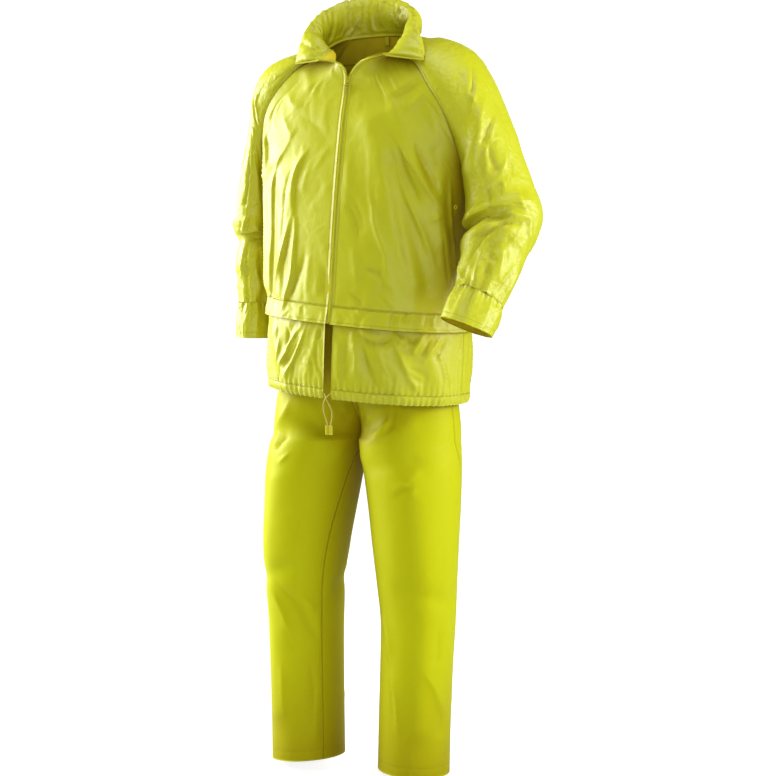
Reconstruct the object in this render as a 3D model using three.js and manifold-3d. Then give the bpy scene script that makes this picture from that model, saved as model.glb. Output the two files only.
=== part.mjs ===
// Rain suit: a raglan jacket with a zip, a stuffed collar and a skirt under a waist flap, over plain trousers.
// Millimetres, +Z up. The wearer faces -Y and the wearer's left is +X. Tables are measured up from the ground
// under the trouser hems, and the last group lowers all of it so that the origin is between the shoulders.
import * as THREE from "three";
import { mergeVertices } from "three/addons/utils/BufferGeometryUtils.js";
import Module from "manifold-3d";

const wasm = await Module();
wasm.setup();

const HOLD_HEIGHT = 1460; // where the wearer's shoulders hold the suit up
const WALL = 1.2; // cloth
const SEAM = 0.3; // gap between two pieces that are sewn together
const LAY = 0.35; // gap under a piece that lies on another
const ZIP_X = 4; // the zip runs a little to the wearer's left of the middle
const ZIP_EDGE = 4.6; // from the middle of the zip to each front's edge
const ZIP_BOTTOM = 926;
const ZIP_OPEN = 1396; // the slider's height: the zip is open above it
const ARMPIT = 1215;
const CROTCH = 688;

const CLOTH_COLOUR = 0xbfc226;
const cloth = () => new THREE.MeshStandardMaterial({ color: CLOTH_COLOUR, roughness: 0.45, side: THREE.DoubleSide });
const metal = () => new THREE.MeshStandardMaterial({ color: 0xb9b23a, roughness: 0.4, metalness: 0.3 });
const plastic = () => new THREE.MeshStandardMaterial({ color: 0xd1cc25, roughness: 0.5 });
const cordCotton = () => new THREE.MeshStandardMaterial({ color: 0xd8cf7a, roughness: 0.8 });

const vec = (x, y, z) => new THREE.Vector3(x, y, z);
const { clamp, lerp, degToRad, radToDeg, smoothstep } = THREE.MathUtils;

// A smooth curve through values at rising knots.
function through(knots, values) {
  const last = knots.length - 1;
  const slope = values.map((_, i) => {
    const a = Math.max(i - 1, 0);
    const b = Math.min(i + 1, last);
    return (values[b] - values[a]) / (knots[b] - knots[a]);
  });
  return (at) => {
    let i = 0;
    while (i < last - 1 && at > knots[i + 1]) i++;
    const h = knots[i + 1] - knots[i];
    const t = clamp((at - knots[i]) / h, 0, 1);
    const t2 = t * t;
    const t3 = t2 * t;
    return (
      (2 * t3 - 3 * t2 + 1) * values[i] +
      (t3 - 2 * t2 + t) * h * slope[i] +
      (3 * t2 - 2 * t3) * values[i + 1] +
      (t3 - t2) * h * slope[i + 1]
    );
  };
}

// One curve for each named column of a table, over its key column.
function columns(table, key) {
  const rising = [...table].sort((a, b) => a[key] - b[key]);
  const made = {};
  for (const name of Object.keys(table[0])) {
    made[name] = through(
      rising.map((row) => row[key]),
      rising.map((row) => row[name]),
    );
  }
  return made;
}

// A space curve through [x, y, z] points at whole-number knots, or at the knots given.
function path(points, knots = points.map((_, i) => i)) {
  const [x, y, z] = [0, 1, 2].map((k) =>
    through(
      knots,
      points.map((p) => p[k]),
    ),
  );
  return (at) => vec(x(at), y(at), z(at));
}

// The jacket's body: half sizes of its rounded section at each height.
const BODY = [
  { z: 762, right: 199, left: 219, front: 163, back: 150 },
  { z: 892, right: 203, left: 225, front: 156, back: 150 },
  { z: 967, right: 209, left: 224, front: 148, back: 148 },
  { z: 1097, right: 217, left: 222, front: 134, back: 142 },
  { z: 1215, right: 228, left: 228, front: 118, back: 136 },
  { z: 1334, right: 232, left: 232, front: 97, back: 128 },
  { z: 1390, right: 232, left: 232, front: 82, back: 118 },
  { z: 1436, right: 216, left: 216, front: 72, back: 106 },
  { z: 1466, right: 190, left: 190, front: 66, back: 96 },
  { z: 1504, right: 150, left: 150, front: 60, back: 88 },
];
const BODY_SQUARE = 2.3; // 2 is an ellipse, more is squarer
const bodySize = columns(BODY, "z");

// The body's largest folds: a ridge (or a trough, if the depth is negative) between two places on it.
// Turn is in degrees from the middle front toward the wearer's left.
const BODY_FOLDS = [
  { fromTurn: 14, fromZ: 1320, toTurn: 48, toZ: 1010, width: 24, depth: 7 },
  { fromTurn: 26, fromZ: 1345, toTurn: 66, toZ: 1090, width: 22, depth: 6 },
  { fromTurn: 30, fromZ: 1240, toTurn: 56, toZ: 985, width: 20, depth: -6 },
  { fromTurn: 60, fromZ: 1200, toTurn: 74, toZ: 1000, width: 20, depth: 6 },
  { fromTurn: -30, fromZ: 1180, toTurn: -34, toZ: 985, width: 18, depth: 6 },
  { fromTurn: -44, fromZ: 1230, toTurn: -48, toZ: 985, width: 16, depth: -6 },
  { fromTurn: -58, fromZ: 1290, toTurn: -60, toZ: 1000, width: 18, depth: 6 },
  { fromTurn: 150, fromZ: 1290, toTurn: 128, toZ: 1000, width: 26, depth: 7 },
  { fromTurn: 176, fromZ: 1240, toTurn: 168, toZ: 990, width: 24, depth: -6 },
  { fromTurn: 205, fromZ: 1300, toTurn: 232, toZ: 1010, width: 26, depth: 7 },
  { fromTurn: 188, fromZ: 1130, toTurn: 214, toZ: 985, width: 20, depth: 5 },
  { fromTurn: 20, fromZ: 905, toTurn: 40, toZ: 800, width: 22, depth: 6 },
  { fromTurn: 52, fromZ: 900, toTurn: 70, toZ: 790, width: 22, depth: 6 },
  { fromTurn: -26, fromZ: 800, toTurn: -44, toZ: 900, width: 18, depth: 6 },
  { fromTurn: -60, fromZ: 790, toTurn: -66, toZ: 900, width: 16, depth: 5 },
  { fromTurn: 140, fromZ: 900, toTurn: 150, toZ: 790, width: 22, depth: 6 },
  { fromTurn: 196, fromZ: 905, toTurn: 205, toZ: 790, width: 24, depth: 6 },
];
const BODY_RADIUS = 185; // turns degrees into millimetres along the cloth

function distanceToRun(px, py, ax, ay, bx, by) {
  const dx = bx - ax;
  const dy = by - ay;
  const t = clamp(((px - ax) * dx + (py - ay) * dy) / (dx * dx + dy * dy), 0, 1);
  return Math.hypot(px - ax - t * dx, py - ay - t * dy);
}

function bodyFold(turn, z) {
  const round = turn < -90 ? turn + 360 : turn;
  const mm = degToRad(1) * BODY_RADIUS;
  let sum = 0;
  for (const f of BODY_FOLDS) {
    const away = distanceToRun(round * mm, z, f.fromTurn * mm, f.fromZ, f.toTurn * mm, f.toZ);
    sum += f.depth * Math.exp(-((away / f.width) ** 2));
  }
  return sum;
}

const signedPower = (value, power) => Math.sign(value) * Math.abs(value) ** power;

function bodySmooth(turn, z) {
  const s = Math.sin(degToRad(turn));
  const c = Math.cos(degToRad(turn));
  const across = s < 0 ? bodySize.right(z) : bodySize.left(z);
  const deep = c > 0 ? bodySize.front(z) : bodySize.back(z);
  return vec(across * signedPower(s, 2 / BODY_SQUARE), -deep * signedPower(c, 2 / BODY_SQUARE), z);
}

function bodyNormal(turn, z) {
  const round = bodySmooth(turn + 1, z).sub(bodySmooth(turn - 1, z));
  const up = bodySmooth(turn, z + 2).sub(bodySmooth(turn, z - 2));
  return round.cross(up).normalize();
}

// A point of the body, moved out from it by some millimetres.
function body(turn, z, out = 0) {
  return bodySmooth(turn, z).addScaledVector(bodyNormal(turn, z), out + bodyFold(turn, z));
}

// The turn at which the body passes a point's direction, and the turn for an x on the front.
function bodyTurn(point) {
  const across = point.x < 0 ? bodySize.right(point.z) : bodySize.left(point.z);
  const deep = point.y < 0 ? bodySize.front(point.z) : bodySize.back(point.z);
  const s = signedPower(point.x / across, BODY_SQUARE / 2);
  const c = signedPower(-point.y / deep, BODY_SQUARE / 2);
  return radToDeg(Math.atan2(s, c));
}

function frontTurn(x, z) {
  const across = x < 0 ? bodySize.right(z) : bodySize.left(z);
  return radToDeg(Math.asin(signedPower(x / across, BODY_SQUARE / 2)));
}

// The waist flap and the hem drop toward the wearer's left.
const WAIST = 961;
const WAIST_DROP = 0.076; // for each millimetre toward the wearer's left
const FLAP_HIGH = 36;
const HEM = 778;
const HEM_DROP = 0.064;
const HEM_HIGH = 20;
const waistLine = (turn) => WAIST - WAIST_DROP * bodySmooth(turn, WAIST).x;
const hemLine = (turn) => HEM - HEM_DROP * bodySmooth(turn, HEM).x;

// The neck seam runs from the wearer's right front corner round the back to the left front corner. Between
// these three lengths it follows the two sleeves' own neck edges.
const NECK_FRONT_RIGHT = [
  [-60, -74, 1450],
  [-52, -58, 1463],
  [-56, -38, 1468],
];
const NECK_BACK = [
  [-42, 86, 1503],
  [0, 89, 1504],
  [42, 86, 1503],
];
const NECK_FRONT_LEFT = [
  [84, -46, 1458],
  [85, -66, 1456],
  [88, -84, 1454],
];
const NECK_RIGHT = { front: 3, back: 6 }; // where the raglan seams meet it
const NECK_LEFT = { front: 13, back: 10 };

// Each front's zip edge above the slider, opened out to the neck seam's corner.
const EDGE_RIGHT = [
  [-1.6, -78.6, 1412],
  [-5, -79.6, 1427],
  [-16, -80.6, 1439],
  [-36, -79, 1447],
];
const EDGE_LEFT = [
  [11, -79, 1412],
  [24, -85, 1426],
  [45, -91, 1440],
  [66, -90, 1448],
];

// Sleeves: each rib runs from its front point, over its top, to its back point. Out is away from the body,
// deep is half the rib's depth, and level turns the rib from square to the arm (0) toward level (1).
// From the armpit on, front and back are one point under the arm. The elastic is at the fourth rib from the
// end, and the loose cuff is past it.
const SLEEVE_RIGHT = [
  { out: 86, y: -22, z: 1460, topOut: 98, topY: 22, topZ: 1481, deep: 50, level: 0 },
  { out: 128, y: -50, z: 1437, topOut: 157, topY: 24, topZ: 1474, deep: 80, level: 0 },
  { out: 172, y: -62, z: 1392, topOut: 224, topY: 22, topZ: 1453, deep: 88, level: 0 },
  { out: 205, y: -58, z: 1345, topOut: 258, topY: 23, topZ: 1413, deep: 84, level: 0 },
  { out: 221, y: -44, z: 1295, topOut: 268, topY: 27, topZ: 1364, deep: 77, level: 0 },
  { out: 228, y: -24, z: 1248, topOut: 280, topY: 31, topZ: 1300, deep: 70, level: 0 },
  { out: 231, y: 6, z: 1215, topOut: 299, topY: 36, topZ: 1236, deep: 65, level: 0 },
  { out: 238, y: 18, z: 1155, topOut: 320, topY: 43, topZ: 1162, deep: 63, level: 0 },
  { out: 242, y: 26, z: 1094, topOut: 331, topY: 47, topZ: 1097, deep: 63, level: 0 },
  { out: 241, y: 26, z: 1030, topOut: 324, topY: 43, topZ: 1032, deep: 60, level: 0 },
  { out: 242, y: 23, z: 985, topOut: 323, topY: 37, topZ: 987, deep: 54, level: 0 },
  { out: 245, y: 22, z: 955, topOut: 319, topY: 33, topZ: 956, deep: 48, level: 0 },
  { out: 241, y: 21, z: 936, topOut: 322, topY: 33, topZ: 937, deep: 52, level: 0 },
  { out: 240, y: 19, z: 911, topOut: 324, topY: 32, topZ: 911, deep: 56, level: 0 },
  { out: 240, y: 18, z: 882, topOut: 321, topY: 31, topZ: 881, deep: 57, level: 0 },
];
const SLEEVE_LEFT = [
  { out: 88, y: -24, z: 1460, topOut: 99, topY: 24, topZ: 1484, deep: 50, level: 0 },
  { out: 140, y: -52, z: 1438, topOut: 154, topY: 32, topZ: 1488, deep: 80, level: 0 },
  { out: 178, y: -66, z: 1392, topOut: 215, topY: 30, topZ: 1463, deep: 90, level: 0 },
  { out: 208, y: -64, z: 1345, topOut: 257, topY: 24, topZ: 1418, deep: 88, level: 0 },
  { out: 224, y: -48, z: 1292, topOut: 291, topY: 18, topZ: 1358, deep: 82, level: 0 },
  { out: 229, y: -27, z: 1247, topOut: 320, topY: 13, topZ: 1304, deep: 76, level: 0 },
  { out: 231, y: 0, z: 1215, topOut: 341, topY: 8, topZ: 1257, deep: 71, level: 0 },
  { out: 240, y: -4, z: 1158, topOut: 366, topY: 6, topZ: 1200, deep: 72, level: 0 },
  { out: 244, y: -16, z: 1100, topOut: 388, topY: 2, topZ: 1142, deep: 72, level: 0 },
  { out: 252, y: -52, z: 1052, topOut: 377, topY: -38, topZ: 1075, deep: 64, level: 0 },
  { out: 257, y: -80, z: 1018, topOut: 370, topY: -72, topZ: 1021, deep: 56, level: 0.1 },
  { out: 262, y: -102, z: 993, topOut: 360, topY: -104, topZ: 972, deep: 46, level: 0.2 },
  { out: 257, y: -113, z: 978, topOut: 363, topY: -116, topZ: 956, deep: 50, level: 0.35 },
  { out: 255, y: -127, z: 958, topOut: 362, topY: -131, topZ: 934, deep: 53, level: 0.45 },
  { out: 255, y: -141, z: 938, topOut: 358, topY: -147, topZ: 914, deep: 53, level: 0.5 },
];
const SLEEVE_BACK = [
  { out: 80, y: 72, z: 1499 },
  { out: 120, y: 98, z: 1465 },
  { out: 170, y: 108, z: 1414 },
  { out: 205, y: 104, z: 1352 },
  { out: 223, y: 83, z: 1293 },
  { out: 229, y: 47, z: 1245 },
];
const ARMPIT_RIB = 6;
const ELASTIC_RIB = 11;
const CUFF_WAVES = 16;
const CUFF_GATHER = [3.2, 3, 1.6, 0.6]; // the waves' height at the elastic and at each rib past it

// Creases across the sleeves, by rib number and by the share of the way round from the front point.
const SLEEVE_FOLDS_RIGHT = [
  { fromRib: 7.9, fromRound: 0.02, toRib: 8.3, toRound: 0.45, width: 13, depth: -9 },
  { fromRib: 7.2, fromRound: 0.1, toRib: 7.7, toRound: 0.5, width: 16, depth: 6 },
  { fromRib: 8.7, fromRound: 0.1, toRib: 9.3, toRound: 0.5, width: 16, depth: 5 },
  { fromRib: 4, fromRound: 0.5, toRib: 7, toRound: 0.3, width: 16, depth: 3 },
  { fromRib: 8.1, fromRound: 0.6, toRib: 7.8, toRound: 0.9, width: 15, depth: -6 },
  { fromRib: 5, fromRound: 0.7, toRib: 7, toRound: 0.8, width: 18, depth: 5 },
];
const SLEEVE_FOLDS_LEFT = [
  { fromRib: 8.1, fromRound: 0.02, toRib: 8.4, toRound: 0.3, width: 14, depth: -12 },
  { fromRib: 7.7, fromRound: 0.04, toRib: 7.6, toRound: 0.4, width: 18, depth: 8 },
  { fromRib: 8.7, fromRound: 0.04, toRib: 8.8, toRound: 0.36, width: 16, depth: 7 },
  { fromRib: 3, fromRound: 0.35, toRib: 6, toRound: 0.2, width: 20, depth: 6 },
  { fromRib: 4, fromRound: 0.5, toRib: 7, toRound: 0.44, width: 18, depth: -5 },
  { fromRib: 9.4, fromRound: 0.3, toRib: 10.6, toRound: 0.16, width: 13, depth: -6 },
  { fromRib: 6, fromRound: 0.7, toRib: 8, toRound: 0.8, width: 20, depth: 6 },
];
const RIB_MM = 55; // cloth along the arm for each rib
const ROUND_MM = 330; // cloth round the arm

// The collar: its seam runs along the neck from wing to wing, and top is its free edge. Arch is how far the
// middle of a section stands out from the straight line between the two.
const COLLAR = [
  { along: 0, topX: -130, topY: -60, topZ: 1446, thick: 6, arch: 3 },
  { along: 1, topX: -129, topY: -50, topZ: 1472, thick: 12, arch: 8 },
  { along: 2, topX: -128, topY: -38, topZ: 1496, thick: 17, arch: 9 },
  { along: 3, topX: -127, topY: -18, topZ: 1520, thick: 20, arch: 6 },
  { along: 4, topX: -124, topY: 12, topZ: 1544, thick: 23, arch: 2 },
  { along: 5, topX: -114, topY: 52, topZ: 1565, thick: 25, arch: 0 },
  { along: 6, topX: -90, topY: 82, topZ: 1580, thick: 26, arch: 0 },
  { along: 7, topX: -48, topY: 98, topZ: 1583, thick: 26, arch: 0 },
  { along: 8, topX: -4, topY: 99, topZ: 1582, thick: 26, arch: 0 },
  { along: 9, topX: 34, topY: 87, topZ: 1573, thick: 26, arch: 0 },
  { along: 10, topX: 66, topY: 65, topZ: 1557, thick: 26, arch: 0 },
  { along: 11, topX: 87, topY: 38, topZ: 1546, thick: 25, arch: 0 },
  { along: 12, topX: 108, topY: 2, topZ: 1530, thick: 23, arch: 2 },
  { along: 13, topX: 132, topY: -24, topZ: 1508, thick: 20, arch: 6 },
  { along: 14, topX: 149, topY: -38, topZ: 1486, thick: 15, arch: 9 },
  { along: 15, topX: 162, topY: -50, topZ: 1462, thick: 10, arch: 7 },
  { along: 16, topX: 167, topY: -60, topZ: 1443, thick: 6, arch: 3 },
];

// Trousers above the crotch: the middle front and middle back seams, and the side seam.
const RISE = [
  { z: 688, frontY: 0, backY: 0, sideX: 205, sideY: 0, deep: 106 },
  { z: 700, frontY: -9, backY: 34, sideX: 205, sideY: 0, deep: 107 },
  { z: 722, frontY: -22, backY: 68, sideX: 203, sideY: 0, deep: 108 },
  { z: 757, frontY: -45, backY: 93, sideX: 198.4, sideY: 0, deep: 109 },
  { z: 800, frontY: -78, backY: 110, sideX: 189.2, sideY: 0, deep: 111 },
  { z: 850, frontY: -102, backY: 118, sideX: 182, sideY: 0, deep: 118 },
  { z: 910, frontY: -114, backY: 120, sideX: 176, sideY: 0, deep: 120.5 },
  { z: 975, frontY: -114, backY: 116, sideX: 168, sideY: 0, deep: 117 },
  { z: 1030, frontY: -106, backY: 108, sideX: 158, sideY: 0, deep: 109 },
];
// Each leg: its middle, how far its inseam is turned forward, and its half sizes.
const LEG = [
  { z: 20, x: 124, y: -22.5, turn: 35, across: 73, deep: 76 },
  { z: 127, x: 126, y: -21.5, turn: 35, across: 73, deep: 76 },
  { z: 250, x: 129.6, y: -19.5, turn: 35, across: 74, deep: 77 },
  { z: 325, x: 131.6, y: -18, turn: 35, across: 76, deep: 79 },
  { z: 400, x: 131, y: -22, turn: 34, across: 81, deep: 84 },
  { z: 475, x: 127, y: -21, turn: 31, across: 87, deep: 91 },
  { z: 550, x: 121, y: -14.5, turn: 25, across: 93, deep: 97 },
  { z: 640, x: 112, y: -8, turn: 13, across: 100, deep: 104 },
  { z: 688, x: 102.5, y: 0, turn: 0, across: 102.5, deep: 106 },
];
const LEG_HEM = 20;
const RIGHT_LEG_WIDER = 2.5;
const LEG_HEM_SLOPE = { right: 0.09, left: 0.05 }; // the hems drop toward the outside
const TROUSER_TOP = 1030;
const WAISTBAND_HIGH = 34;
const WAISTBAND_WAVES = 24;

// Folds on the trousers, by the share of the way from the inner seam (0) round the front to the side (1),
// and on round the back to the inner seam again (2).
const LEG_FOLDS = {
  right: [
    { fromRound: 0.35, fromZ: 720, toRound: 0.75, toZ: 690, width: 18, depth: -4 },
    { fromRound: 0.15, fromZ: 660, toRound: 0.6, toZ: 730, width: 20, depth: 4 },
    { fromRound: 0.3, fromZ: 420, toRound: 0.7, toZ: 385, width: 20, depth: -4 },
    { fromRound: 0.5, fromZ: 600, toRound: 0.45, toZ: 120, width: 26, depth: 4 },
    { fromRound: 1.3, fromZ: 650, toRound: 1.7, toZ: 690, width: 22, depth: -5 },
    { fromRound: 1.4, fromZ: 420, toRound: 1.8, toZ: 380, width: 22, depth: -4 },
  ],
  left: [
    { fromRound: 0.2, fromZ: 655, toRound: 0.6, toZ: 725, width: 20, depth: 4 },
    { fromRound: 0.3, fromZ: 640, toRound: 0.62, toZ: 655, width: 16, depth: -4 },
    { fromRound: 0.35, fromZ: 400, toRound: 0.75, toZ: 370, width: 20, depth: -4 },
    { fromRound: 0.55, fromZ: 600, toRound: 0.5, toZ: 120, width: 26, depth: 4 },
    { fromRound: 1.3, fromZ: 690, toRound: 1.7, toZ: 650, width: 22, depth: -5 },
    { fromRound: 1.4, fromZ: 410, toRound: 1.8, toZ: 370, width: 22, depth: -4 },
  ],
};

// A panel is a grid of points, row by row up the cloth, with a normal at each.
function panel(rows, across, point, outward) {
  const points = [];
  for (let i = 0; i <= rows; i++) {
    points.push([]);
    for (let j = 0; j <= across; j++) points[i].push(point(i, j));
  }
  const normals = points.map((row, i) =>
    row.map((_, j) => {
      const up = points[Math.min(i + 1, rows)][j].clone().sub(points[Math.max(i - 1, 0)][j]);
      const round = row[Math.min(j + 1, across)].clone().sub(row[Math.max(j - 1, 0)]);
      return round.cross(up).normalize();
    }),
  );
  const middle = points[rows >> 1][across >> 1];
  const facing = normals[rows >> 1][across >> 1];
  if (facing.dot(outward(middle)) < 0) normals.flat().forEach((n) => n.negate());
  return { points, normals };
}

const row = (made, i) => made.points[i].map((_, j) => [made, i, j]);
const side = (made, j, from = 0, to = made.points.length - 1) =>
  made.points.slice(from, to + 1).map((_, k) => [made, from + k, j]);

// Where two panels meet, both take the same normal, so that the gap between them stays even. In a sharp
// valley, as under the arm, each keeps its own, because their walls part there.
function sew(one, other) {
  one.forEach(([a, i, j], k) => {
    const [b, m, n] = other[k];
    if (a.normals[i][j].dot(b.normals[m][n]) < 0) return;
    const both = a.normals[i][j].clone().add(b.normals[m][n]).normalize();
    a.normals[i][j].copy(both);
    b.normals[m][n].copy(both);
  });
}

// Draws a panel's four edges in by half a seam each, where it meets another piece.
function drawIn(made, { bottom = 0, top = 0, first = 0, last = 0 }) {
  const { points } = made;
  const end = points.length - 1;
  const far = points[0].length - 1;
  const step = (from, to, by) => to.clone().sub(from).setLength(by);
  const moves = [];
  points.forEach((line, i) => {
    if (first) moves.push([line[0], step(line[0], line[1], first)]);
    if (last) moves.push([line[far], step(line[far], line[far - 1], last)]);
    if (i === 0 && bottom) line.forEach((p, j) => moves.push([p, step(p, points[1][j], bottom)]));
    if (i === end && top) line.forEach((p, j) => moves.push([p, step(p, points[end - 1][j], top)]));
  });
  moves.forEach(([p, by]) => p.add(by));
}

function meshFrom(name, positions, faces, material) {
  const geometry = new THREE.BufferGeometry();
  geometry.setAttribute("position", new THREE.Float32BufferAttribute(positions, 3));
  geometry.setIndex(faces);
  if (volumeOf(positions, faces) < 0) geometry.setIndex(faces.map((_, i) => faces[i - (i % 3) + [0, 2, 1][i % 3]]));
  geometry.computeVertexNormals();
  const mesh = new THREE.Mesh(geometry, material);
  mesh.name = name;
  return mesh;
}

function volumeOf(positions, faces) {
  const at = (k) => vec(positions[3 * k], positions[3 * k + 1], positions[3 * k + 2]);
  let sum = 0;
  for (let i = 0; i < faces.length; i += 3) sum += at(faces[i]).dot(at(faces[i + 1]).cross(at(faces[i + 2])));
  return sum / 6;
}

// The closed cloth wall of a panel: its points, and the same points moved in by the wall.
// Ring says that the last column meets the first, as on a tube with no seam.
function wallOf(name, made, { wall = WALL, material = cloth(), ring = false } = {}) {
  const { points, normals } = made;
  const high = points.length;
  const wide = points[0].length;
  const positions = [];
  for (const inward of [0, wall]) {
    points.forEach((line, i) =>
      line.forEach((p, j) => positions.push(...p.clone().addScaledVector(normals[i][j], -inward).toArray())),
    );
  }
  const outer = (i, j) => i * wide + (j % wide);
  const inner = (i, j) => high * wide + outer(i, j);
  const faces = [];
  const quad = (a, b, c, d) => faces.push(a, b, c, a, c, d);
  const spans = ring ? wide : wide - 1;
  for (let i = 0; i < high - 1; i++) {
    for (let j = 0; j < spans; j++) {
      quad(outer(i, j), outer(i, j + 1), outer(i + 1, j + 1), outer(i + 1, j));
      quad(inner(i, j), inner(i + 1, j), inner(i + 1, j + 1), inner(i, j + 1));
    }
    if (ring) continue;
    quad(outer(i, 0), outer(i + 1, 0), inner(i + 1, 0), inner(i, 0));
    quad(outer(i + 1, spans), outer(i, spans), inner(i, spans), inner(i + 1, spans));
  }
  for (let j = 0; j < spans; j++) {
    quad(outer(0, j + 1), outer(0, j), inner(0, j), inner(0, j + 1));
    quad(outer(high - 1, j), outer(high - 1, j + 1), inner(high - 1, j + 1), inner(high - 1, j));
  }
  return meshFrom(name, positions, faces, material);
}

const fromAxis = (p) => vec(p.x, p.y, 0);
const suit = new THREE.Group();
const HALF = SEAM / 2;

// Sleeve ribs as curves over the rib number, for the wearer's right (side -1) or left (side 1).
function sleeveOf(table, side, folds) {
  const ribs = table.map((_, i) => i);
  const last = table.length - 1;
  const place = (x, y, z) => (rib) => [side * rib[x], rib[y], rib[z]];
  const low = table.map(place("out", "y", "z"));
  const fronts = path(low.slice(0, ARMPIT_RIB + 1));
  const backs = path([...SLEEVE_BACK.map(place("out", "y", "z")), low[ARMPIT_RIB]]);
  const under = path(low.slice(ARMPIT_RIB), ribs.slice(ARMPIT_RIB));
  const top = path(table.map(place("topOut", "topY", "topZ")));
  const [deep, level] = ["deep", "level"].map((name) => through(ribs, table.map((rib) => rib[name])));
  const front = (rib) => (rib <= ARMPIT_RIB ? fronts(rib) : under(rib));
  const back = (rib) => (rib <= ARMPIT_RIB ? backs(rib) : under(rib));
  const middle = (rib) => front(rib).add(back(rib)).multiplyScalar(0.25).addScaledVector(top(rib), 0.5);
  const forward = (rib) => {
    const along = middle(Math.min(rib + 0.1, last)).sub(middle(Math.max(rib - 0.1, 0)));
    const axis = along.normalize().lerp(vec(0, 0, -1), level(rib)).normalize();
    return vec(0, -1, 0).addScaledVector(axis, axis.y).normalize();
  };
  // Round is 0 at the front point, 0.5 at the top and 1 at the back point.
  const point = (rib, round) => {
    let out = 0;
    for (const f of folds) {
      const away = distanceToRun(
        rib * RIB_MM,
        round * ROUND_MM,
        f.fromRib * RIB_MM,
        f.fromRound * ROUND_MM,
        f.toRib * RIB_MM,
        f.toRound * ROUND_MM,
      );
      out += f.depth * Math.exp(-((away / f.width) ** 2));
    }
    const seamEase = rib < ARMPIT_RIB ? smoothstep(Math.min(round, 1 - round), 0, 0.12) : 1;
    const p = ring(front(rib), back(rib), top(rib), deep(rib), forward(rib), round);
    return p.addScaledVector(p.clone().sub(middle(rib)).normalize(), out * seamEase);
  };
  return { front, back, middle, point };
}

// A point of an elliptic ring that starts at front, passes top and ends at back, deep along forward.
function ring(front, back, top, deep, forward, round) {
  const chord = front.clone().add(back).multiplyScalar(0.5);
  const half = front.clone().sub(back).multiplyScalar(0.5);
  const rise = top.clone().sub(chord);
  const reach = Math.max(deep, half.length() * 1.002);
  const closing = half.length() / reach;
  const spread = Math.PI - Math.asin(Math.min(closing, 1));
  const facing = half.length() > 1e-6 ? half.clone().normalize() : forward.clone();
  const sideways = facing.multiplyScalar(closing).addScaledVector(forward, 1 - closing).normalize();
  const along = rise.multiplyScalar(1 / (1 - Math.cos(spread)));
  const angle = spread * (1 - 2 * round);
  const place = (a) =>
    top.clone().addScaledVector(along, Math.cos(a) - 1).addScaledVector(sideways, reach * Math.sin(a));
  const slipFront = front.clone().sub(place(spread));
  const slipBack = back.clone().sub(place(-spread));
  return place(angle)
    .addScaledVector(slipFront, Math.max(0, 1 - 2 * round))
    .addScaledVector(slipBack, Math.max(0, 2 * round - 1));
}

const sleeveRight = sleeveOf(SLEEVE_RIGHT, -1, SLEEVE_FOLDS_RIGHT);
const sleeveLeft = sleeveOf(SLEEVE_LEFT, 1, SLEEVE_FOLDS_LEFT);

const NECK = [
  ...NECK_FRONT_RIGHT,
  ...[0, 1, 2, 3].map((k) => sleeveRight.point(0, k / 3).toArray()),
  ...NECK_BACK,
  ...[3, 2, 1, 0].map((k) => sleeveLeft.point(0, k / 3).toArray()),
  ...NECK_FRONT_LEFT,
];
const neck = path(NECK);

// Rows up the body: even to the armpit, then the raglan seam's own rows.
const LOWER_ROWS = 8;
const HEAD_ROWS = 9;
const BODY_ROWS = LOWER_ROWS + HEAD_ROWS;
const FRONT_COLUMNS = 10;
const BACK_COLUMNS = 18;
const YOKE_ROWS = 2;
const headRib = (i) => ARMPIT_RIB * (1 - (i - LOWER_ROWS) / HEAD_ROWS);

// One place on a side seam or a raglan seam for each row of the body.
function seamPlace(sideTurn, i, raglan) {
  const turn = sideTurn;
  if (i < LOWER_ROWS) {
    const armpit = raglan(ARMPIT_RIB);
    const z = lerp(waistLine(turn), ARMPIT, i / LOWER_ROWS);
    const ease = smoothstep(i / LOWER_ROWS, 0.4, 1);
    const slip = armpit.clone().sub(body(turn, ARMPIT)).multiplyScalar(ease);
    return { turn, z, point: body(turn, z).add(slip) };
  }
  const point = raglan(headRib(i));
  return { turn: bodyTurn(point), z: point.z, point };
}

// The zip edge of a front, for each row of the body.
const EDGE_START_ROW = LOWER_ROWS + 4; // the row at the slider
function edgePlace(side, opened, corner, i) {
  const x = ZIP_X + side * ZIP_EDGE;
  if (i <= EDGE_START_ROW) {
    const low = i / LOWER_ROWS;
    const high = (i - LOWER_ROWS) / (EDGE_START_ROW - LOWER_ROWS);
    const z = i <= LOWER_ROWS ? lerp(waistLine(0), ARMPIT, low) : lerp(ARMPIT, ZIP_OPEN, high);
    const turn = frontTurn(x, z);
    return { turn, z, point: body(turn, z) };
  }
  const t = (i - EDGE_START_ROW) / (BODY_ROWS - EDGE_START_ROW);
  const start = body(frontTurn(x, ZIP_OPEN), ZIP_OPEN).toArray();
  const points = [start, ...opened, corner];
  const point = path(points)(t * (points.length - 1));
  return { turn: bodyTurn(point), z: point.z, point };
}

// Blends the body's own surface to the places on a row's two ends.
function rowPoint(start, end, t, i) {
  const turn = lerp(start.turn, end.turn, t);
  const z = i < LOWER_ROWS ? lerp(waistLine(turn), ARMPIT, i / LOWER_ROWS) : lerp(start.z, end.z, t);
  const startSlip = start.point.clone().sub(body(start.turn, start.z));
  const endSlip = end.point.clone().sub(body(end.turn, end.z));
  return body(turn, z)
    .addScaledVector(startSlip, (1 - smoothstep(t, 0, 0.7)) * (1 - t))
    .addScaledVector(endSlip, smoothstep(t, 0.3, 1) * t);
}

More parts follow.
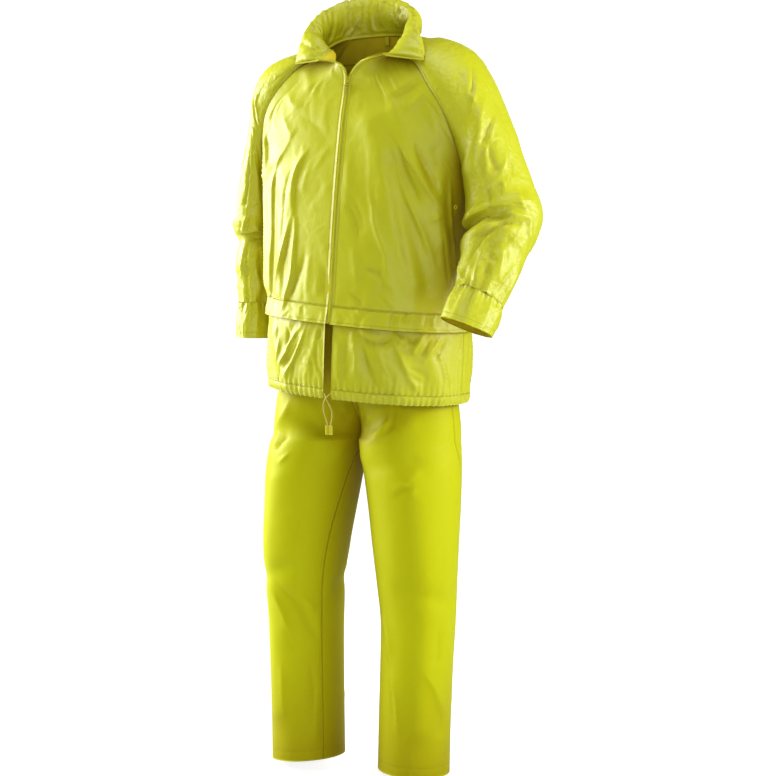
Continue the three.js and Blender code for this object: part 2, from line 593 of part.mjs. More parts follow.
// Above the slider's row the panel eases to the neck seam, whose place along the neck is given.
function toNeck(rowOf, neckAt, fromRow) {
  return (i, t) => {
    const w = smoothstep(i, fromRow, BODY_ROWS);
    const top = rowOf(BODY_ROWS);
    const slip = neck(neckAt(t)).sub(rowPoint(top[0], top[1], t, BODY_ROWS));
    const ends = rowOf(i);
    return rowPoint(ends[0], ends[1], t, i).addScaledVector(slip, w);
  };
}

const corner = { right: NECK[0], left: NECK[NECK.length - 1] };
const frontRightPoint = toNeck(
  (i) => [edgePlace(-1, EDGE_RIGHT, corner.right, i), seamPlace(-90, i, sleeveRight.front)],
  (t) => lerp(0, NECK_RIGHT.front, t),
  EDGE_START_ROW,
);
const frontLeftPoint = toNeck(
  (i) => [edgePlace(1, EDGE_LEFT, corner.left, i), seamPlace(90, i, sleeveLeft.front)],
  (t) => lerp(NECK.length - 1, NECK_LEFT.front, t),
  EDGE_START_ROW,
);
const backPoint = toNeck(
  (i) => {
    const left = seamPlace(90, i, sleeveLeft.back);
    const right = seamPlace(-90, i, sleeveRight.back);
    return [left, { ...right, turn: right.turn + 360 }];
  },
  (t) => lerp(NECK_LEFT.back, NECK_RIGHT.back, t),
  EDGE_START_ROW + 2,
);

const frontRight = panel(BODY_ROWS, FRONT_COLUMNS, (i, j) => frontRightPoint(i, j / FRONT_COLUMNS), fromAxis);
const frontLeft = panel(BODY_ROWS, FRONT_COLUMNS, (i, j) => frontLeftPoint(i, j / FRONT_COLUMNS), fromAxis);
const YOKE_START = BODY_ROWS - YOKE_ROWS;
const backLower = panel(YOKE_START, BACK_COLUMNS, (i, j) => backPoint(i, j / BACK_COLUMNS), fromAxis);
const backYoke = panel(YOKE_ROWS, BACK_COLUMNS, (i, j) => backPoint(i + YOKE_START, j / BACK_COLUMNS), fromAxis);

// Sleeves, row by row from the neck seam to the elastic. The first rows are the raglan seam's.
const ARM_ROWS = 13;
const ROUND_COLUMNS = 14;
const ribOfRow = (i) =>
  i <= HEAD_ROWS
    ? (ARMPIT_RIB * i) / HEAD_ROWS
    : lerp(ARMPIT_RIB, ELASTIC_RIB, (i - HEAD_ROWS) / ARM_ROWS);
const sleevePanel = (arm) =>
  panel(
    HEAD_ROWS + ARM_ROWS,
    ROUND_COLUMNS,
    (i, j) => arm.point(ribOfRow(i), j / ROUND_COLUMNS),
    () => vec(0, 0, 1),
  );

function outwardSleeve(arm) {
  const made = sleevePanel(arm);
  const rib = ribOfRow(4);
  const top = arm.point(rib, 0.5);
  const chord = arm.front(rib).add(arm.back(rib)).multiplyScalar(0.5);
  if (made.normals[4][ROUND_COLUMNS / 2].dot(top.sub(chord)) < 0) made.normals.flat().forEach((n) => n.negate());
  return made;
}
const armRight = outwardSleeve(sleeveRight);
const armLeft = outwardSleeve(sleeveLeft);

// Seams of the upper jacket.
const headSide = (made, j, from, to) => side(made, j, from, to).reverse();
sew(side(armRight, 0, 0, HEAD_ROWS), headSide(frontRight, FRONT_COLUMNS, LOWER_ROWS, BODY_ROWS));
sew(side(armLeft, 0, 0, HEAD_ROWS), headSide(frontLeft, FRONT_COLUMNS, LOWER_ROWS, BODY_ROWS));
sew(side(armLeft, ROUND_COLUMNS, 0, YOKE_ROWS), headSide(backYoke, 0, 0, YOKE_ROWS));
sew(side(armRight, ROUND_COLUMNS, 0, YOKE_ROWS), headSide(backYoke, BACK_COLUMNS, 0, YOKE_ROWS));
sew(side(armLeft, ROUND_COLUMNS, YOKE_ROWS, HEAD_ROWS), headSide(backLower, 0, LOWER_ROWS, YOKE_START));
sew(side(armRight, ROUND_COLUMNS, YOKE_ROWS, HEAD_ROWS), headSide(backLower, BACK_COLUMNS, LOWER_ROWS, YOKE_START));
sew(side(frontLeft, FRONT_COLUMNS, 0, LOWER_ROWS), side(backLower, 0, 0, LOWER_ROWS));
sew(side(frontRight, FRONT_COLUMNS, 0, LOWER_ROWS), side(backLower, BACK_COLUMNS, 0, LOWER_ROWS));
sew(row(backLower, YOKE_START), row(backYoke, 0));
for (const arm of [armRight, armLeft]) {
  const rows = HEAD_ROWS + ARM_ROWS;
  sew(side(arm, 0, HEAD_ROWS + 1, rows), side(arm, ROUND_COLUMNS, HEAD_ROWS + 1, rows));
}

// Cuffs: a gathered ring that opens out past the elastic.
const gatherAt = through([0, 1, 2, 3], CUFF_GATHER);
function cuffPanel(arm) {
  const rows = CUFF_GATHER.length - 1;
  const wide = 2 * CUFF_WAVES;
  const point = (i, j) => {
    const rib = ELASTIC_RIB + i;
    const p = arm.point(rib, j / wide);
    const wave = j % 2 ? gatherAt(i) : -gatherAt(i);
    return p.addScaledVector(p.clone().sub(arm.middle(rib)).normalize(), wave / 2);
  };
  const made = panel(rows, wide - 1, point, () => vec(0, 0, 1));
  made.normals.forEach((line, i) =>
    line.forEach((n, j) => {
      const around = made.points[i][(j + 1) % wide].clone().sub(made.points[i][(j + wide - 1) % wide]);
      const along = made.points[Math.min(i + 1, rows)][j].clone().sub(made.points[Math.max(i - 1, 0)][j]);
      n.copy(around).cross(along).normalize();
      if (n.dot(made.points[i][j].clone().sub(arm.middle(ELASTIC_RIB + i))) < 0) n.negate();
    }),
  );
  return made;
}
const cuffRight = cuffPanel(sleeveRight);
const cuffLeft = cuffPanel(sleeveLeft);

// Waist flap, skirt and hem channel: strips from one side or zip edge to another.
const SKIRT_OPEN = 4.5; // the skirt's fronts stand this much further apart than the zip's edges
const FLAP_FLARE = 6;
const SKIRT_INSET = WALL + LAY;
const HEM_WALL = 2.6;
const CHANNEL_GAP = 0.7; // the skirt's wider facets need a little more than a seam's gap
const HEM_DRAW = 3; // how far the draw cord pulls the hem in
const STRIPS = [
  { name: "front_right", from: -90, toX: ZIP_X - ZIP_EDGE, columns: 12 },
  { name: "front_left", from: 90, toX: ZIP_X + ZIP_EDGE, columns: 12 },
  { name: "back", from: 90, to: 270, columns: 20 },
];

function stripTurn(strip, t, z, spread) {
  const last = strip.to ?? frontTurn(strip.toX + Math.sign(strip.toX - ZIP_X) * spread, z);
  return lerp(strip.from, last, t);
}

function stripPanel(strip, rows, wide, spread, place) {
  return panel(
    rows,
    wide,
    (i, j) => {
      const rough = stripTurn(strip, j / wide, HEM, spread);
      const { z, out } = place(i / rows, rough, j);
      return body(stripTurn(strip, j / wide, z, spread), z, out);
    },
    fromAxis,
  );
}

const flaps = {};
const skirts = {};
const hems = {};
for (const strip of STRIPS) {
  flaps[strip.name] = stripPanel(strip, 2, strip.columns, 0, (up, turn) => ({
    z: waistLine(turn) - SEAM - FLAP_HIGH * (1 - up),
    out: FLAP_FLARE * (1 - up),
  }));
  skirts[strip.name] = stripPanel(strip, 5, strip.columns, SKIRT_OPEN, (up, turn) => ({
    z: lerp(hemLine(turn) + HEM_HIGH + CHANNEL_GAP, waistLine(turn) - 2, up),
    out: -SKIRT_INSET,
  }));
  const wide = strip.columns * 4;
  hems[strip.name] = stripPanel(strip, 2, wide, SKIRT_OPEN, (up, turn, j) => ({
    z: hemLine(turn) + HEM_HIGH * up,
    out: -SKIRT_INSET + (up === 0.5 ? 1.6 : 0) - HEM_DRAW * (1 - up) + (j % 2 ? 0.9 : -0.9) * (1.2 - up),
  }));
}
for (const group of [flaps, skirts, hems]) {
  sew(side(group.front_left, 0), side(group.back, 0));
  sew(side(group.front_right, 0), side(group.back, group.back.points[0].length - 1));
}

// Collar: a rounded, stuffed roll. Each section runs from the neck seam to the free edge.
const COLLAR_STEPS = 40;
const COLLAR_ROUND = 10;
const COLLAR_LIFT = 0.9;
const COLLAR_SQUARE = 2.6;
const COLLAR_FOOT = 0.3; // its thickness at the seam, as a share of the thickness of the roll
const collarTop = columns(COLLAR, "along");
function collarSection(along) {
  const last = NECK.length - 1;
  const before = Math.max(along - 0.05, 0);
  const after = Math.min(along + 0.05, last);
  const edge = (at) => vec(collarTop.topX(at), collarTop.topY(at), collarTop.topZ(at));
  const base = neck(along);
  const top = edge(along);
  const rise = top.clone().sub(base);
  base.addScaledVector(rise.clone().normalize(), COLLAR_LIFT);
  const run = neck(after).sub(neck(before)).normalize();
  const runTop = edge(after).sub(edge(before)).normalize();
  const inward = run.add(runTop).cross(rise).normalize();
  return { base, top, inward, thick: collarTop.thick(along), arch: collarTop.arch(along) };
}
function collarMesh() {
  const last = NECK.length - 1;
  const positions = [];
  for (let s = 0; s <= COLLAR_STEPS; s++) {
    const { base, top, inward, thick, arch } = collarSection((last * s) / COLLAR_STEPS);
    const half = top.clone().sub(base).multiplyScalar(0.5);
    const middle = base.clone().add(half);
    for (let k = 0; k < COLLAR_ROUND; k++) {
      const a = (2 * Math.PI * k) / COLLAR_ROUND;
      const up = signedPower(-Math.cos(a), 2 / COLLAR_SQUARE);
      const fill = lerp(COLLAR_FOOT, 1, smoothstep(up, -1, 0.1));
      const out = (Math.sin(a) * thick * fill) / 2 + arch * (1 - up * up);
      const p = middle.clone().addScaledVector(half, up).addScaledVector(inward, out);
      positions.push(...p.toArray());
    }
  }
  const faces = [];
  for (let s = 0; s < COLLAR_STEPS; s++) {
    for (let k = 0; k < COLLAR_ROUND; k++) {
      const a = s * COLLAR_ROUND + k;
      const b = s * COLLAR_ROUND + ((k + 1) % COLLAR_ROUND);
      faces.push(a, b, b + COLLAR_ROUND, a, b + COLLAR_ROUND, a + COLLAR_ROUND);
    }
  }
  const end = COLLAR_STEPS * COLLAR_ROUND;
  for (let k = 1; k < COLLAR_ROUND - 1; k++) {
    faces.push(0, k + 1, k, end, end + k, end + k + 1);
  }
  return meshFrom("collar", positions, faces, cloth());
}

// Draw the sewn edges in by half a seam, then make the walls.
drawIn(frontRight, { top: HALF, last: HALF });
drawIn(frontLeft, { top: HALF, last: HALF });
drawIn(backLower, { top: HALF, first: HALF, last: HALF });
drawIn(backYoke, { bottom: HALF, top: HALF, first: 3 * HALF, last: 3 * HALF });
for (const arm of [armRight, armLeft]) drawIn(arm, { bottom: HALF, top: HALF, first: HALF, last: HALF });
for (const cuff of [cuffRight, cuffLeft]) drawIn(cuff, { bottom: HALF });
for (const group of [flaps, skirts, hems]) {
  drawIn(group.front_right, { first: HALF });
  drawIn(group.front_left, { first: HALF });
  drawIn(group.back, { first: HALF, last: HALF });
}
suit.add(
  wallOf("jacket_front_right", frontRight),
  wallOf("jacket_front_left", frontLeft),
  wallOf("jacket_back_lower", backLower),
  wallOf("jacket_back_yoke", backYoke),
  wallOf("sleeve_right", armRight),
  wallOf("sleeve_left", armLeft),
  wallOf("cuff_right", cuffRight, { ring: true }),
  wallOf("cuff_left", cuffLeft, { ring: true }),
  collarMesh(),
);
for (const strip of STRIPS) {
  suit.add(
    wallOf("waist_flap_" + strip.name, flaps[strip.name]),
    wallOf("skirt_" + strip.name, skirts[strip.name]),
    wallOf("hem_channel_" + strip.name, hems[strip.name], { wall: HEM_WALL }),
  );
}

// Zip tapes: they lie under each front's edge and stand out from it, up to the collar's wing tip.
const TAPE_WALL = 1;
const TAPE_UNDER = 9;
const TAPE_PROUD = 4;
const WING_ROWS = 3;
const TAIL_ROWS = 2; // below the waist, between the skirt's fronts
const TAIL_UNDER = 3.9;
function zipTape(front, side) {
  const rows = TAIL_ROWS + BODY_ROWS + 1 + WING_ROWS;
  const along = side < 0 ? 0 : NECK.length - 1;
  const wing = collarSection(along);
  const inner = collarSection(along - side * 0.4);
  const into = inner.base.clone().add(inner.top).sub(wing.base).sub(wing.top).normalize();
  const point = (up, j) => {
    const i = up - TAIL_ROWS;
    if (i < 0) {
      const z = lerp(waistLine(0), ZIP_BOTTOM, -i / TAIL_ROWS);
      const x = ZIP_X + side * (ZIP_EDGE + (j === 0 ? -TAPE_PROUD : TAIL_UNDER));
      return body(frontTurn(x, z), z, -WALL - LAY);
    }
    if (i <= BODY_ROWS) {
      const edge = front.points[i][0];
      const inward = front.points[i][1].clone().sub(edge).normalize();
      const wide = i === 0 ? TAIL_UNDER : TAPE_UNDER;
      const under = lerp(wide, -SEAM, smoothstep(i, EDGE_START_ROW, EDGE_START_ROW + 1));
      const step = j === 0 ? -TAPE_PROUD : under;
      return edge.clone().addScaledVector(front.normals[i][0], -WALL - LAY).addScaledVector(inward, step);
    }
    const t = (i - BODY_ROWS - 0.7) / WING_ROWS;
    const p = wing.base.clone().lerp(wing.top, clamp(t, 0.05, 1));
    return p.addScaledVector(into, j === 0 ? -TAPE_PROUD - 1 : -1);
  };
  return panel(rows, 1, point, fromAxis);
}
suit.add(
  wallOf("zip_tape_right", zipTape(frontRight, -1), { wall: TAPE_WALL }),
  wallOf("zip_tape_left", zipTape(frontLeft, 1), { wall: TAPE_WALL }),
);

// Guard strip behind the zip, whose top shows in the open neck.
const GUARD_WIDE = 34;
const GUARD_BOTTOM = 965;
const GUARD_TOP = 1416;
const GUARD_BACK = 3.6;
const guard = panel(
  14,
  2,
  (i, j) => {
    const z = lerp(GUARD_BOTTOM, GUARD_TOP, i / 14);
    const x = ZIP_X + GUARD_WIDE * (j / 2 - 0.5);
    return body(frontTurn(x, z), z, -GUARD_BACK);
  },
  fromAxis,
);
suit.add(wallOf("zip_guard", guard));

// Hanging loop: a folded tape inside the back of the neck.
const LOOP_HIGH = 19;
const LOOP_DEEP = 4;
const LOOP_WIDE = 9;
const loopOutline = new THREE.Shape();
loopOutline.moveTo(0, 0);
loopOutline.lineTo(0, -LOOP_HIGH + LOOP_DEEP / 2);
loopOutline.absarc(-LOOP_DEEP / 2, -LOOP_HIGH + LOOP_DEEP / 2, LOOP_DEEP / 2, 0, -Math.PI, true);
loopOutline.lineTo(-LOOP_DEEP, 0);
loopOutline.lineTo(-LOOP_DEEP + WALL, 0);
loopOutline.lineTo(-LOOP_DEEP + WALL, -LOOP_HIGH + LOOP_DEEP / 2);
loopOutline.absarc(-LOOP_DEEP / 2, -LOOP_HIGH + LOOP_DEEP / 2, LOOP_DEEP / 2 - WALL, -Math.PI, 0, false);
loopOutline.lineTo(-WALL, 0);
const loopGeometry = new THREE.ExtrudeGeometry(loopOutline, { depth: LOOP_WIDE, bevelEnabled: false, curveSegments: 5 });
const hangingLoop = new THREE.Mesh(loopGeometry, cloth());
hangingLoop.name = "hanging_loop";
hangingLoop.rotation.set(Math.PI / 2, Math.PI / 2, 0);
hangingLoop.position.set(-LOOP_WIDE / 2, 87.95, 1502);
suit.add(hangingLoop);

// Vent eyelets, one low under each arm.
const EYELET = { outer: 4.6, hole: 2.1, high: 1.4 };
const eyeletProfile = [
  [EYELET.hole, 0],
  [EYELET.outer, 0],
  [EYELET.outer - 0.5, EYELET.high * 0.7],
  [(EYELET.outer + EYELET.hole) / 2, EYELET.high],
  [EYELET.hole, EYELET.high * 0.7],
  [EYELET.hole, 0],
].map(([r, h]) => new THREE.Vector2(r, h));
// The middle and the facing of the lower triangle of one square of a panel.
function facet({ points }, i, j) {
  const corners = [points[i][j], points[i][j + 1], points[i + 1][j + 1]];
  const triangle = new THREE.Triangle(...corners);
  const lengths = corners.map((_, k) => corners[(k + 1) % 3].distanceTo(corners[(k + 2) % 3]));
  const round = lengths[0] + lengths[1] + lengths[2];
  const middle = vec(0, 0, 0);
  corners.forEach((c, k) => middle.addScaledVector(c, lengths[k] / round));
  const facing = triangle.getNormal(vec(0, 0, 0));
  if (facing.dot(fromAxis(middle)) < 0) facing.negate();
  return { middle, facing };
}
for (const [name, made] of [
  ["vent_eyelet_right", frontRight],
  ["vent_eyelet_left", frontLeft],
]) {
  const { middle, facing } = facet(made, LOWER_ROWS - 2, FRONT_COLUMNS - 2);
  const eyelet = new THREE.Mesh(new THREE.LatheGeometry(eyeletProfile, 16), metal());
  eyelet.name = name;
  eyelet.position.copy(middle).addScaledVector(facing, LAY);
  eyelet.quaternion.setFromUnitVectors(vec(0, 1, 0), facing);
  suit.add(eyelet);
}

// Zip slider with its bridge, and the pull tab that swings on the bridge's bar.
const SLIDER = { wide: 9, high: 11, thick: 2.4, lift: 0.7 };
const BRIDGE = { postWide: 1.2, postHigh: 2.6, innerWide: 4.2, barRadius: 0.7, barOut: 5.4, up: 2 };
const TAB_REST = 7; // it hangs with its end a little toward the cloth
const TAB = { eye: 1.9, hole: 1.05, neckWide: 3.2, wide: 5.4, long: 19, thick: 1.2 };

function merged(geometry) {
  const bare = geometry.index ? geometry.toNonIndexed() : geometry.clone();
  const only = new THREE.BufferGeometry().setAttribute("position", bare.getAttribute("position"));
  return mergeVertices(only, 1e-4);
}
function solid(geometry) {
  const g = merged(geometry);
  return new wasm.Manifold(
    new wasm.Mesh({
      numProp: 3,
      vertProperties: new Float32Array(g.attributes.position.array),
      triVerts: new Uint32Array(g.index.array),
    }),
  );
}
function meshOfSolid(name, made, material) {
  const out = made.getMesh();
  const positions = [];
  for (let i = 0; i < out.numVert; i++) positions.push(...out.vertProperties.slice(i * out.numProp, i * out.numProp + 3));
  return meshFrom(name, positions, [...out.triVerts], material);
}

// In the slider's own frame X is across, Y is up the zip and Z is away from the cloth.
const sliderBody = new THREE.Shape();
sliderBody.moveTo(-SLIDER.wide / 2, SLIDER.high / 2 - 1);
sliderBody.quadraticCurveTo(0, SLIDER.high / 2 + 1.5, SLIDER.wide / 2, SLIDER.high / 2 - 1);
sliderBody.lineTo(SLIDER.wide / 2 - 1.4, -SLIDER.high / 2);
sliderBody.lineTo(-SLIDER.wide / 2 + 1.4, -SLIDER.high / 2);
sliderBody.closePath();
const sliderPlate = new THREE.ExtrudeGeometry(sliderBody, { depth: SLIDER.thick, bevelEnabled: false, curveSegments: 4 });
let sliderSolid = solid(sliderPlate);
for (const x of [-1, 1]) {
  const high = BRIDGE.barOut + 0.9 - SLIDER.thick;
  const post = new THREE.BoxGeometry(BRIDGE.postWide, BRIDGE.postHigh, high + 0.4);
  const postX = (x * (BRIDGE.innerWide + BRIDGE.postWide)) / 2;
  post.translate(postX, BRIDGE.up, SLIDER.thick + high / 2 - 0.2);
  sliderSolid = sliderSolid.add(solid(post));
}
const bar = new THREE.CylinderGeometry(BRIDGE.barRadius, BRIDGE.barRadius, BRIDGE.innerWide + 0.8, 8);
bar.rotateZ(Math.PI / 2);
bar.translate(0, BRIDGE.up, BRIDGE.barOut);
sliderSolid = sliderSolid.add(solid(bar));
const slider = meshOfSolid("zip_slider", sliderSolid, metal());

const tabOutline = new THREE.Shape();
tabOutline.moveTo(-TAB.neckWide / 2, 0);
tabOutline.lineTo(-TAB.neckWide / 2, -3.4);
tabOutline.lineTo(-TAB.wide / 2, -5.6);
tabOutline.lineTo(-TAB.wide / 2, -TAB.long + 2);
tabOutline.quadraticCurveTo(-TAB.wide / 2, -TAB.long, 0, -TAB.long);
tabOutline.quadraticCurveTo(TAB.wide / 2, -TAB.long, TAB.wide / 2, -TAB.long + 2);
tabOutline.lineTo(TAB.wide / 2, -5.6);
tabOutline.lineTo(TAB.neckWide / 2, -3.4);
tabOutline.lineTo(TAB.neckWide / 2, 0);
tabOutline.closePath();
const tabPlate = new THREE.ExtrudeGeometry(tabOutline, { depth: TAB.thick, bevelEnabled: false, curveSegments: 4 });
tabPlate.translate(0, 0, -TAB.thick / 2);
const eye = new THREE.CylinderGeometry(TAB.eye, TAB.eye, TAB.neckWide, 12);
eye.rotateZ(Math.PI / 2);
const eyeHole = new THREE.CylinderGeometry(TAB.hole, TAB.hole, TAB.neckWide + 2, 10);
eyeHole.rotateZ(Math.PI / 2);
const tabSolid = solid(tabPlate).add(solid(eye)).subtract(solid(eyeHole));
const tab = meshOfSolid("zip_pull_tab", tabSolid, metal());
tab.position.set(0, BRIDGE.up, BRIDGE.barOut);
tab.rotation.x = degToRad(TAB_REST);

const sliderGroup = new THREE.Group();
const sliderTurn = frontTurn(ZIP_X, ZIP_OPEN - 4);
const sliderOut = bodyNormal(sliderTurn, ZIP_OPEN - 4);
sliderGroup.position.copy(body(sliderTurn, ZIP_OPEN - 4, SLIDER.lift));
sliderGroup.rotation.x = Math.atan2(-sliderOut.y, sliderOut.z);
sliderGroup.add(slider, tab);
suit.add(sliderGroup);

// Bottom stop of the zip.
const STOP = { wide: 7, thick: 2.4, high: 9 };
const stop = new THREE.Mesh(new THREE.BoxGeometry(STOP.wide, STOP.thick, STOP.high), plastic());
stop.name = "zip_stop";
const stopMiddle = ZIP_BOTTOM + STOP.high / 2 + 1;
const stopOut = bodyNormal(frontTurn(ZIP_X, stopMiddle), stopMiddle);
stop.position.copy(body(frontTurn(ZIP_X, stopMiddle), stopMiddle, -WALL - LAY + SEAM + STOP.thick / 2));
stop.rotation.x = Math.atan2(-stopOut.y, stopOut.z) - Math.PI / 2;
suit.add(stop);

// Draw cord: both free ends leave the hem channel beside the front opening, cross, and run down into one
// cord end with two barrels.
const CORD = 2.4;
const CORD_END = { x: 11, y: -164, top: 726, high: 19, radius: 3.7, apart: 8 };
const CORD_RIGHT = [
  [-4.5, -158.3, 788],
  [-2.9, -158.6, 787.9],
  [-0.6, -161, 786],
  [2.2, -163.2, 782.3],
  [5.2, -164.3, 777.2],
  [8.9, -164.6, 771],
  [12.6, -164.4, 764.8],
  [15.8, -164.2, 758.4],
  [17.6, -164, 751.6],
  [17.9, -164, 744.8],
  [17, -164, 738],
  [15.6, -164, 731.6],
  [15, -164, 726.4],
];
const CORD_LEFT = [
  [12.5, -158.2, 787.3],
  [11, -158.7, 787.2],
  [9.2, -162.6, 785.2],
  [7, -165.6, 782],
  [4.4, -167.8, 777.6],
  [2, -168.4, 772.2],
  [0.3, -167.4, 765.6],
  [-0.4, -166, 758.6],
  [0, -165, 751.6],
  [1.6, -164.4, 744.8],
  [4, -164, 738.2],
  [6.2, -164, 732],
  [7, -164, 726.4],
];
function cordMesh(name, route) {
  const curve = new THREE.CatmullRomCurve3(route.map((p) => vec(...p)));
  const section = new THREE.Shape();
  section.absarc(0, 0, CORD / 2, 0, 2 * Math.PI, false);
  const steps = Math.round(curve.getLength() / (2.2 * CORD));
  const geometry = new THREE.ExtrudeGeometry(section, { steps, curveSegments: 4, bevelEnabled: false, extrudePath: curve });
  const mesh = new THREE.Mesh(geometry, cordCotton());
  mesh.name = name;
  return mesh;
}
suit.add(cordMesh("hem_cord_right", CORD_RIGHT), cordMesh("hem_cord_left", CORD_LEFT));

const barrelProfile = [
  [0, 0],
  [CORD_END.radius - 0.8, 0],
  [CORD_END.radius, 1],
  [CORD_END.radius, CORD_END.high - 1.6],
  [CORD_END.radius - 1.2, CORD_END.high],
  [0, CORD_END.high],
].map(([r, h]) => new THREE.Vector2(r, h));
let cordEndSolid = null;
for (const x of [-1, 1]) {
  const barrel = new THREE.LatheGeometry(barrelProfile, 12);
  barrel.rotateX(Math.PI / 2);
  barrel.translate((x * CORD_END.apart) / 2, 0, 0);
  cordEndSolid = cordEndSolid ? cordEndSolid.add(solid(barrel)) : solid(barrel);
}
const web = new THREE.BoxGeometry(CORD_END.apart, 2.4, CORD_END.high - 5);
web.translate(0, 0, CORD_END.high / 2 - 1);
cordEndSolid = cordEndSolid.add(solid(web));
const cordEnd = meshOfSolid("cord_end", cordEndSolid, plastic());
cordEnd.position.set(CORD_END.x, CORD_END.y, CORD_END.top - CORD_END.high);
suit.add(cordEnd);

// Trousers. A leg's level curve runs from its inner seam round the front to the side seam, and on round the
// back. Above the crotch the inner seams are the middle front and the middle back seams.
const riseAt = columns(RISE, "z");
const legAt = columns(LEG, "z");
function legLevel(side, z) {
  if (z > CROTCH) {
    return {
      front: vec(0, riseAt.frontY(z), z),
      back: vec(0, riseAt.backY(z), z),
      outer: vec(side * riseAt.sideX(z), riseAt.sideY(z), z),
      deep: riseAt.deep(z),
    };
  }
  const a = degToRad(legAt.turn(z));
  const wider = side < 0 ? RIGHT_LEG_WIDER * smoothstep(CROTCH - z, 0, 90) : 0;
  const across = legAt.across(z) + wider;
  const reach = vec(-side * across * Math.cos(a), -across * Math.sin(a), 0);
  const middle = vec(side * (legAt.x(z) + wider), legAt.y(z), z);
  const inner = middle.clone().add(reach);
  return { front: inner, back: inner.clone(), outer: middle.clone().sub(reach), deep: legAt.deep(z) };
}
function legPoint(side, z, round) {
  const level = legLevel(side, z);
  const rise = level.outer.clone().sub(level.front).setZ(0);
  const forward = vec(side * rise.y, -side * rise.x, 0).normalize();
  const p = ring(level.front, level.back, level.outer, level.deep, z > CROTCH ? vec(0, -1, 0) : forward, round);
  const middle = level.front.clone().add(level.back).multiplyScalar(0.25).addScaledVector(level.outer, 0.5);
  let out = 0;
  for (const f of LEG_FOLDS[side < 0 ? "right" : "left"]) {
    const mm = 240;
    const away = distanceToRun(2 * round * mm, z, f.fromRound * mm, f.fromZ, f.toRound * mm, f.toZ);
    out += f.depth * Math.exp(-((away / f.width) ** 2));
  }
  const ease = smoothstep(Math.min(round, 1 - round), 0, 0.08);
  return p.addScaledVector(p.clone().sub(middle).setZ(0).normalize(), out * ease);
}

const LEG_ROWS = 12; // up to the crotch
const RISE_ROWS = 8;
const LEG_COLUMNS = 8;
function legHem(side, round) {
  const slope = side < 0 ? LEG_HEM_SLOPE.right : LEG_HEM_SLOPE.left;
  return LEG_HEM + slope * (100 - Math.abs(legPoint(side, LEG_HEM, round).x - side * 24));
}
function legPanel(side, from, to) {
  return panel(
    LEG_ROWS + RISE_ROWS,
    LEG_COLUMNS,
    (i, j) => {
      const round = lerp(from, to, j / LEG_COLUMNS);
      const low = lerp(legHem(side, round), CROTCH, i / LEG_ROWS);
      const upShare = (i - LEG_ROWS) / RISE_ROWS;
      const high = lerp(CROTCH, TROUSER_TOP, upShare ** 1.35);
      return legPoint(side, i <= LEG_ROWS ? low : high, round);
    },
    (p) => vec(p.x - side * 100, p.y, 0),
  );
}
const trousers = {
  front_right: legPanel(-1, 0, 0.5),
  back_right: legPanel(-1, 1, 0.5),
  front_left: legPanel(1, 0, 0.5),
  back_left: legPanel(1, 1, 0.5),
};
const LEG_END = LEG_ROWS + RISE_ROWS;
for (const where of ["right", "left"]) {
  const front = trousers["front_" + where];
  const back = trousers["back_" + where];
  sew(side(front, LEG_COLUMNS), side(back, LEG_COLUMNS));
  sew(side(front, 0, 0, LEG_ROWS), side(back, 0, 0, LEG_ROWS));
}
for (const face of ["front_", "back_"]) {
  sew(side(trousers[face + "right"], 0, LEG_ROWS + 1, LEG_END), side(trousers[face + "left"], 0, LEG_ROWS + 1, LEG_END));
}
for (const [name, made] of Object.entries(trousers)) {
  drawIn(made, { top: HALF, first: HALF, last: HALF });
  suit.add(wallOf("trouser_" + name, made));
}

// Waistband: an elastic casing, gathered all round.
const waistbandWide = 2 * WAISTBAND_WAVES;
const waistband = panel(
  2,
  waistbandWide - 1,
  (i, j) => {
    const share = j / waistbandWide;
    const side = share < 0.5 ? -1 : 1;
    const round = share < 0.5 ? share * 2 : 2 - share * 2;
    const p = legPoint(side, TROUSER_TOP, round);
    const out = (j % 2 ? 1.2 : -1.2) + (i === 1 ? 1 : -1.5);
    p.addScaledVector(vec(p.x, p.y, 0).normalize(), out);
    return p.setZ(TROUSER_TOP + SEAM + (WAISTBAND_HIGH * i) / 2);
  },
  fromAxis,
);
waistband.normals.forEach((line, i) => line.forEach((n, j) => n.copy(fromAxis(waistband.points[i][j])).normalize()));
suit.add(wallOf("trouser_waistband", waistband, { wall: 2, ring: true }));

suit.position.z = -HOLD_HEIGHT;
const rainSuit = new THREE.Group();
rainSuit.add(suit);

export default rainSuit;
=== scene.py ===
import math

import bpy
import numpy as np
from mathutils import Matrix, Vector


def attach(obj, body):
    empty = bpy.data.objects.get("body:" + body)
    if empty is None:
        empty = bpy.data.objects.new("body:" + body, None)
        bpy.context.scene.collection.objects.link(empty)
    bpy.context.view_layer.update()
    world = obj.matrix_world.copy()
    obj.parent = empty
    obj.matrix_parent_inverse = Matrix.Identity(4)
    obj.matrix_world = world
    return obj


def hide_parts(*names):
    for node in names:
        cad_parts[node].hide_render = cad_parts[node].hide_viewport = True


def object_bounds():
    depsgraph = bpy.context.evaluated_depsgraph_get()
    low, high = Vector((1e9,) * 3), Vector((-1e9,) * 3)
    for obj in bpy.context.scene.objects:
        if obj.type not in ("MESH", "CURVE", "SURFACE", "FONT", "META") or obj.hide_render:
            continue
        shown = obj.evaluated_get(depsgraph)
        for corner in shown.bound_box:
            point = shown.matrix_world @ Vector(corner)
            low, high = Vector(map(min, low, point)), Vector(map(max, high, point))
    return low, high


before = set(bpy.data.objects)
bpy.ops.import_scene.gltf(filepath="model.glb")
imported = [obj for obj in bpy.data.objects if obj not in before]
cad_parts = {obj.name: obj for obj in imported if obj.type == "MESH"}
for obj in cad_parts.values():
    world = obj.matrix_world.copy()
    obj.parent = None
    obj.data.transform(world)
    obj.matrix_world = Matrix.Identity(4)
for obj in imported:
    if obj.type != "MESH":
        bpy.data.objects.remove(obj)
cad_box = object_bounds()
HOLD_HEIGHT = 1.46

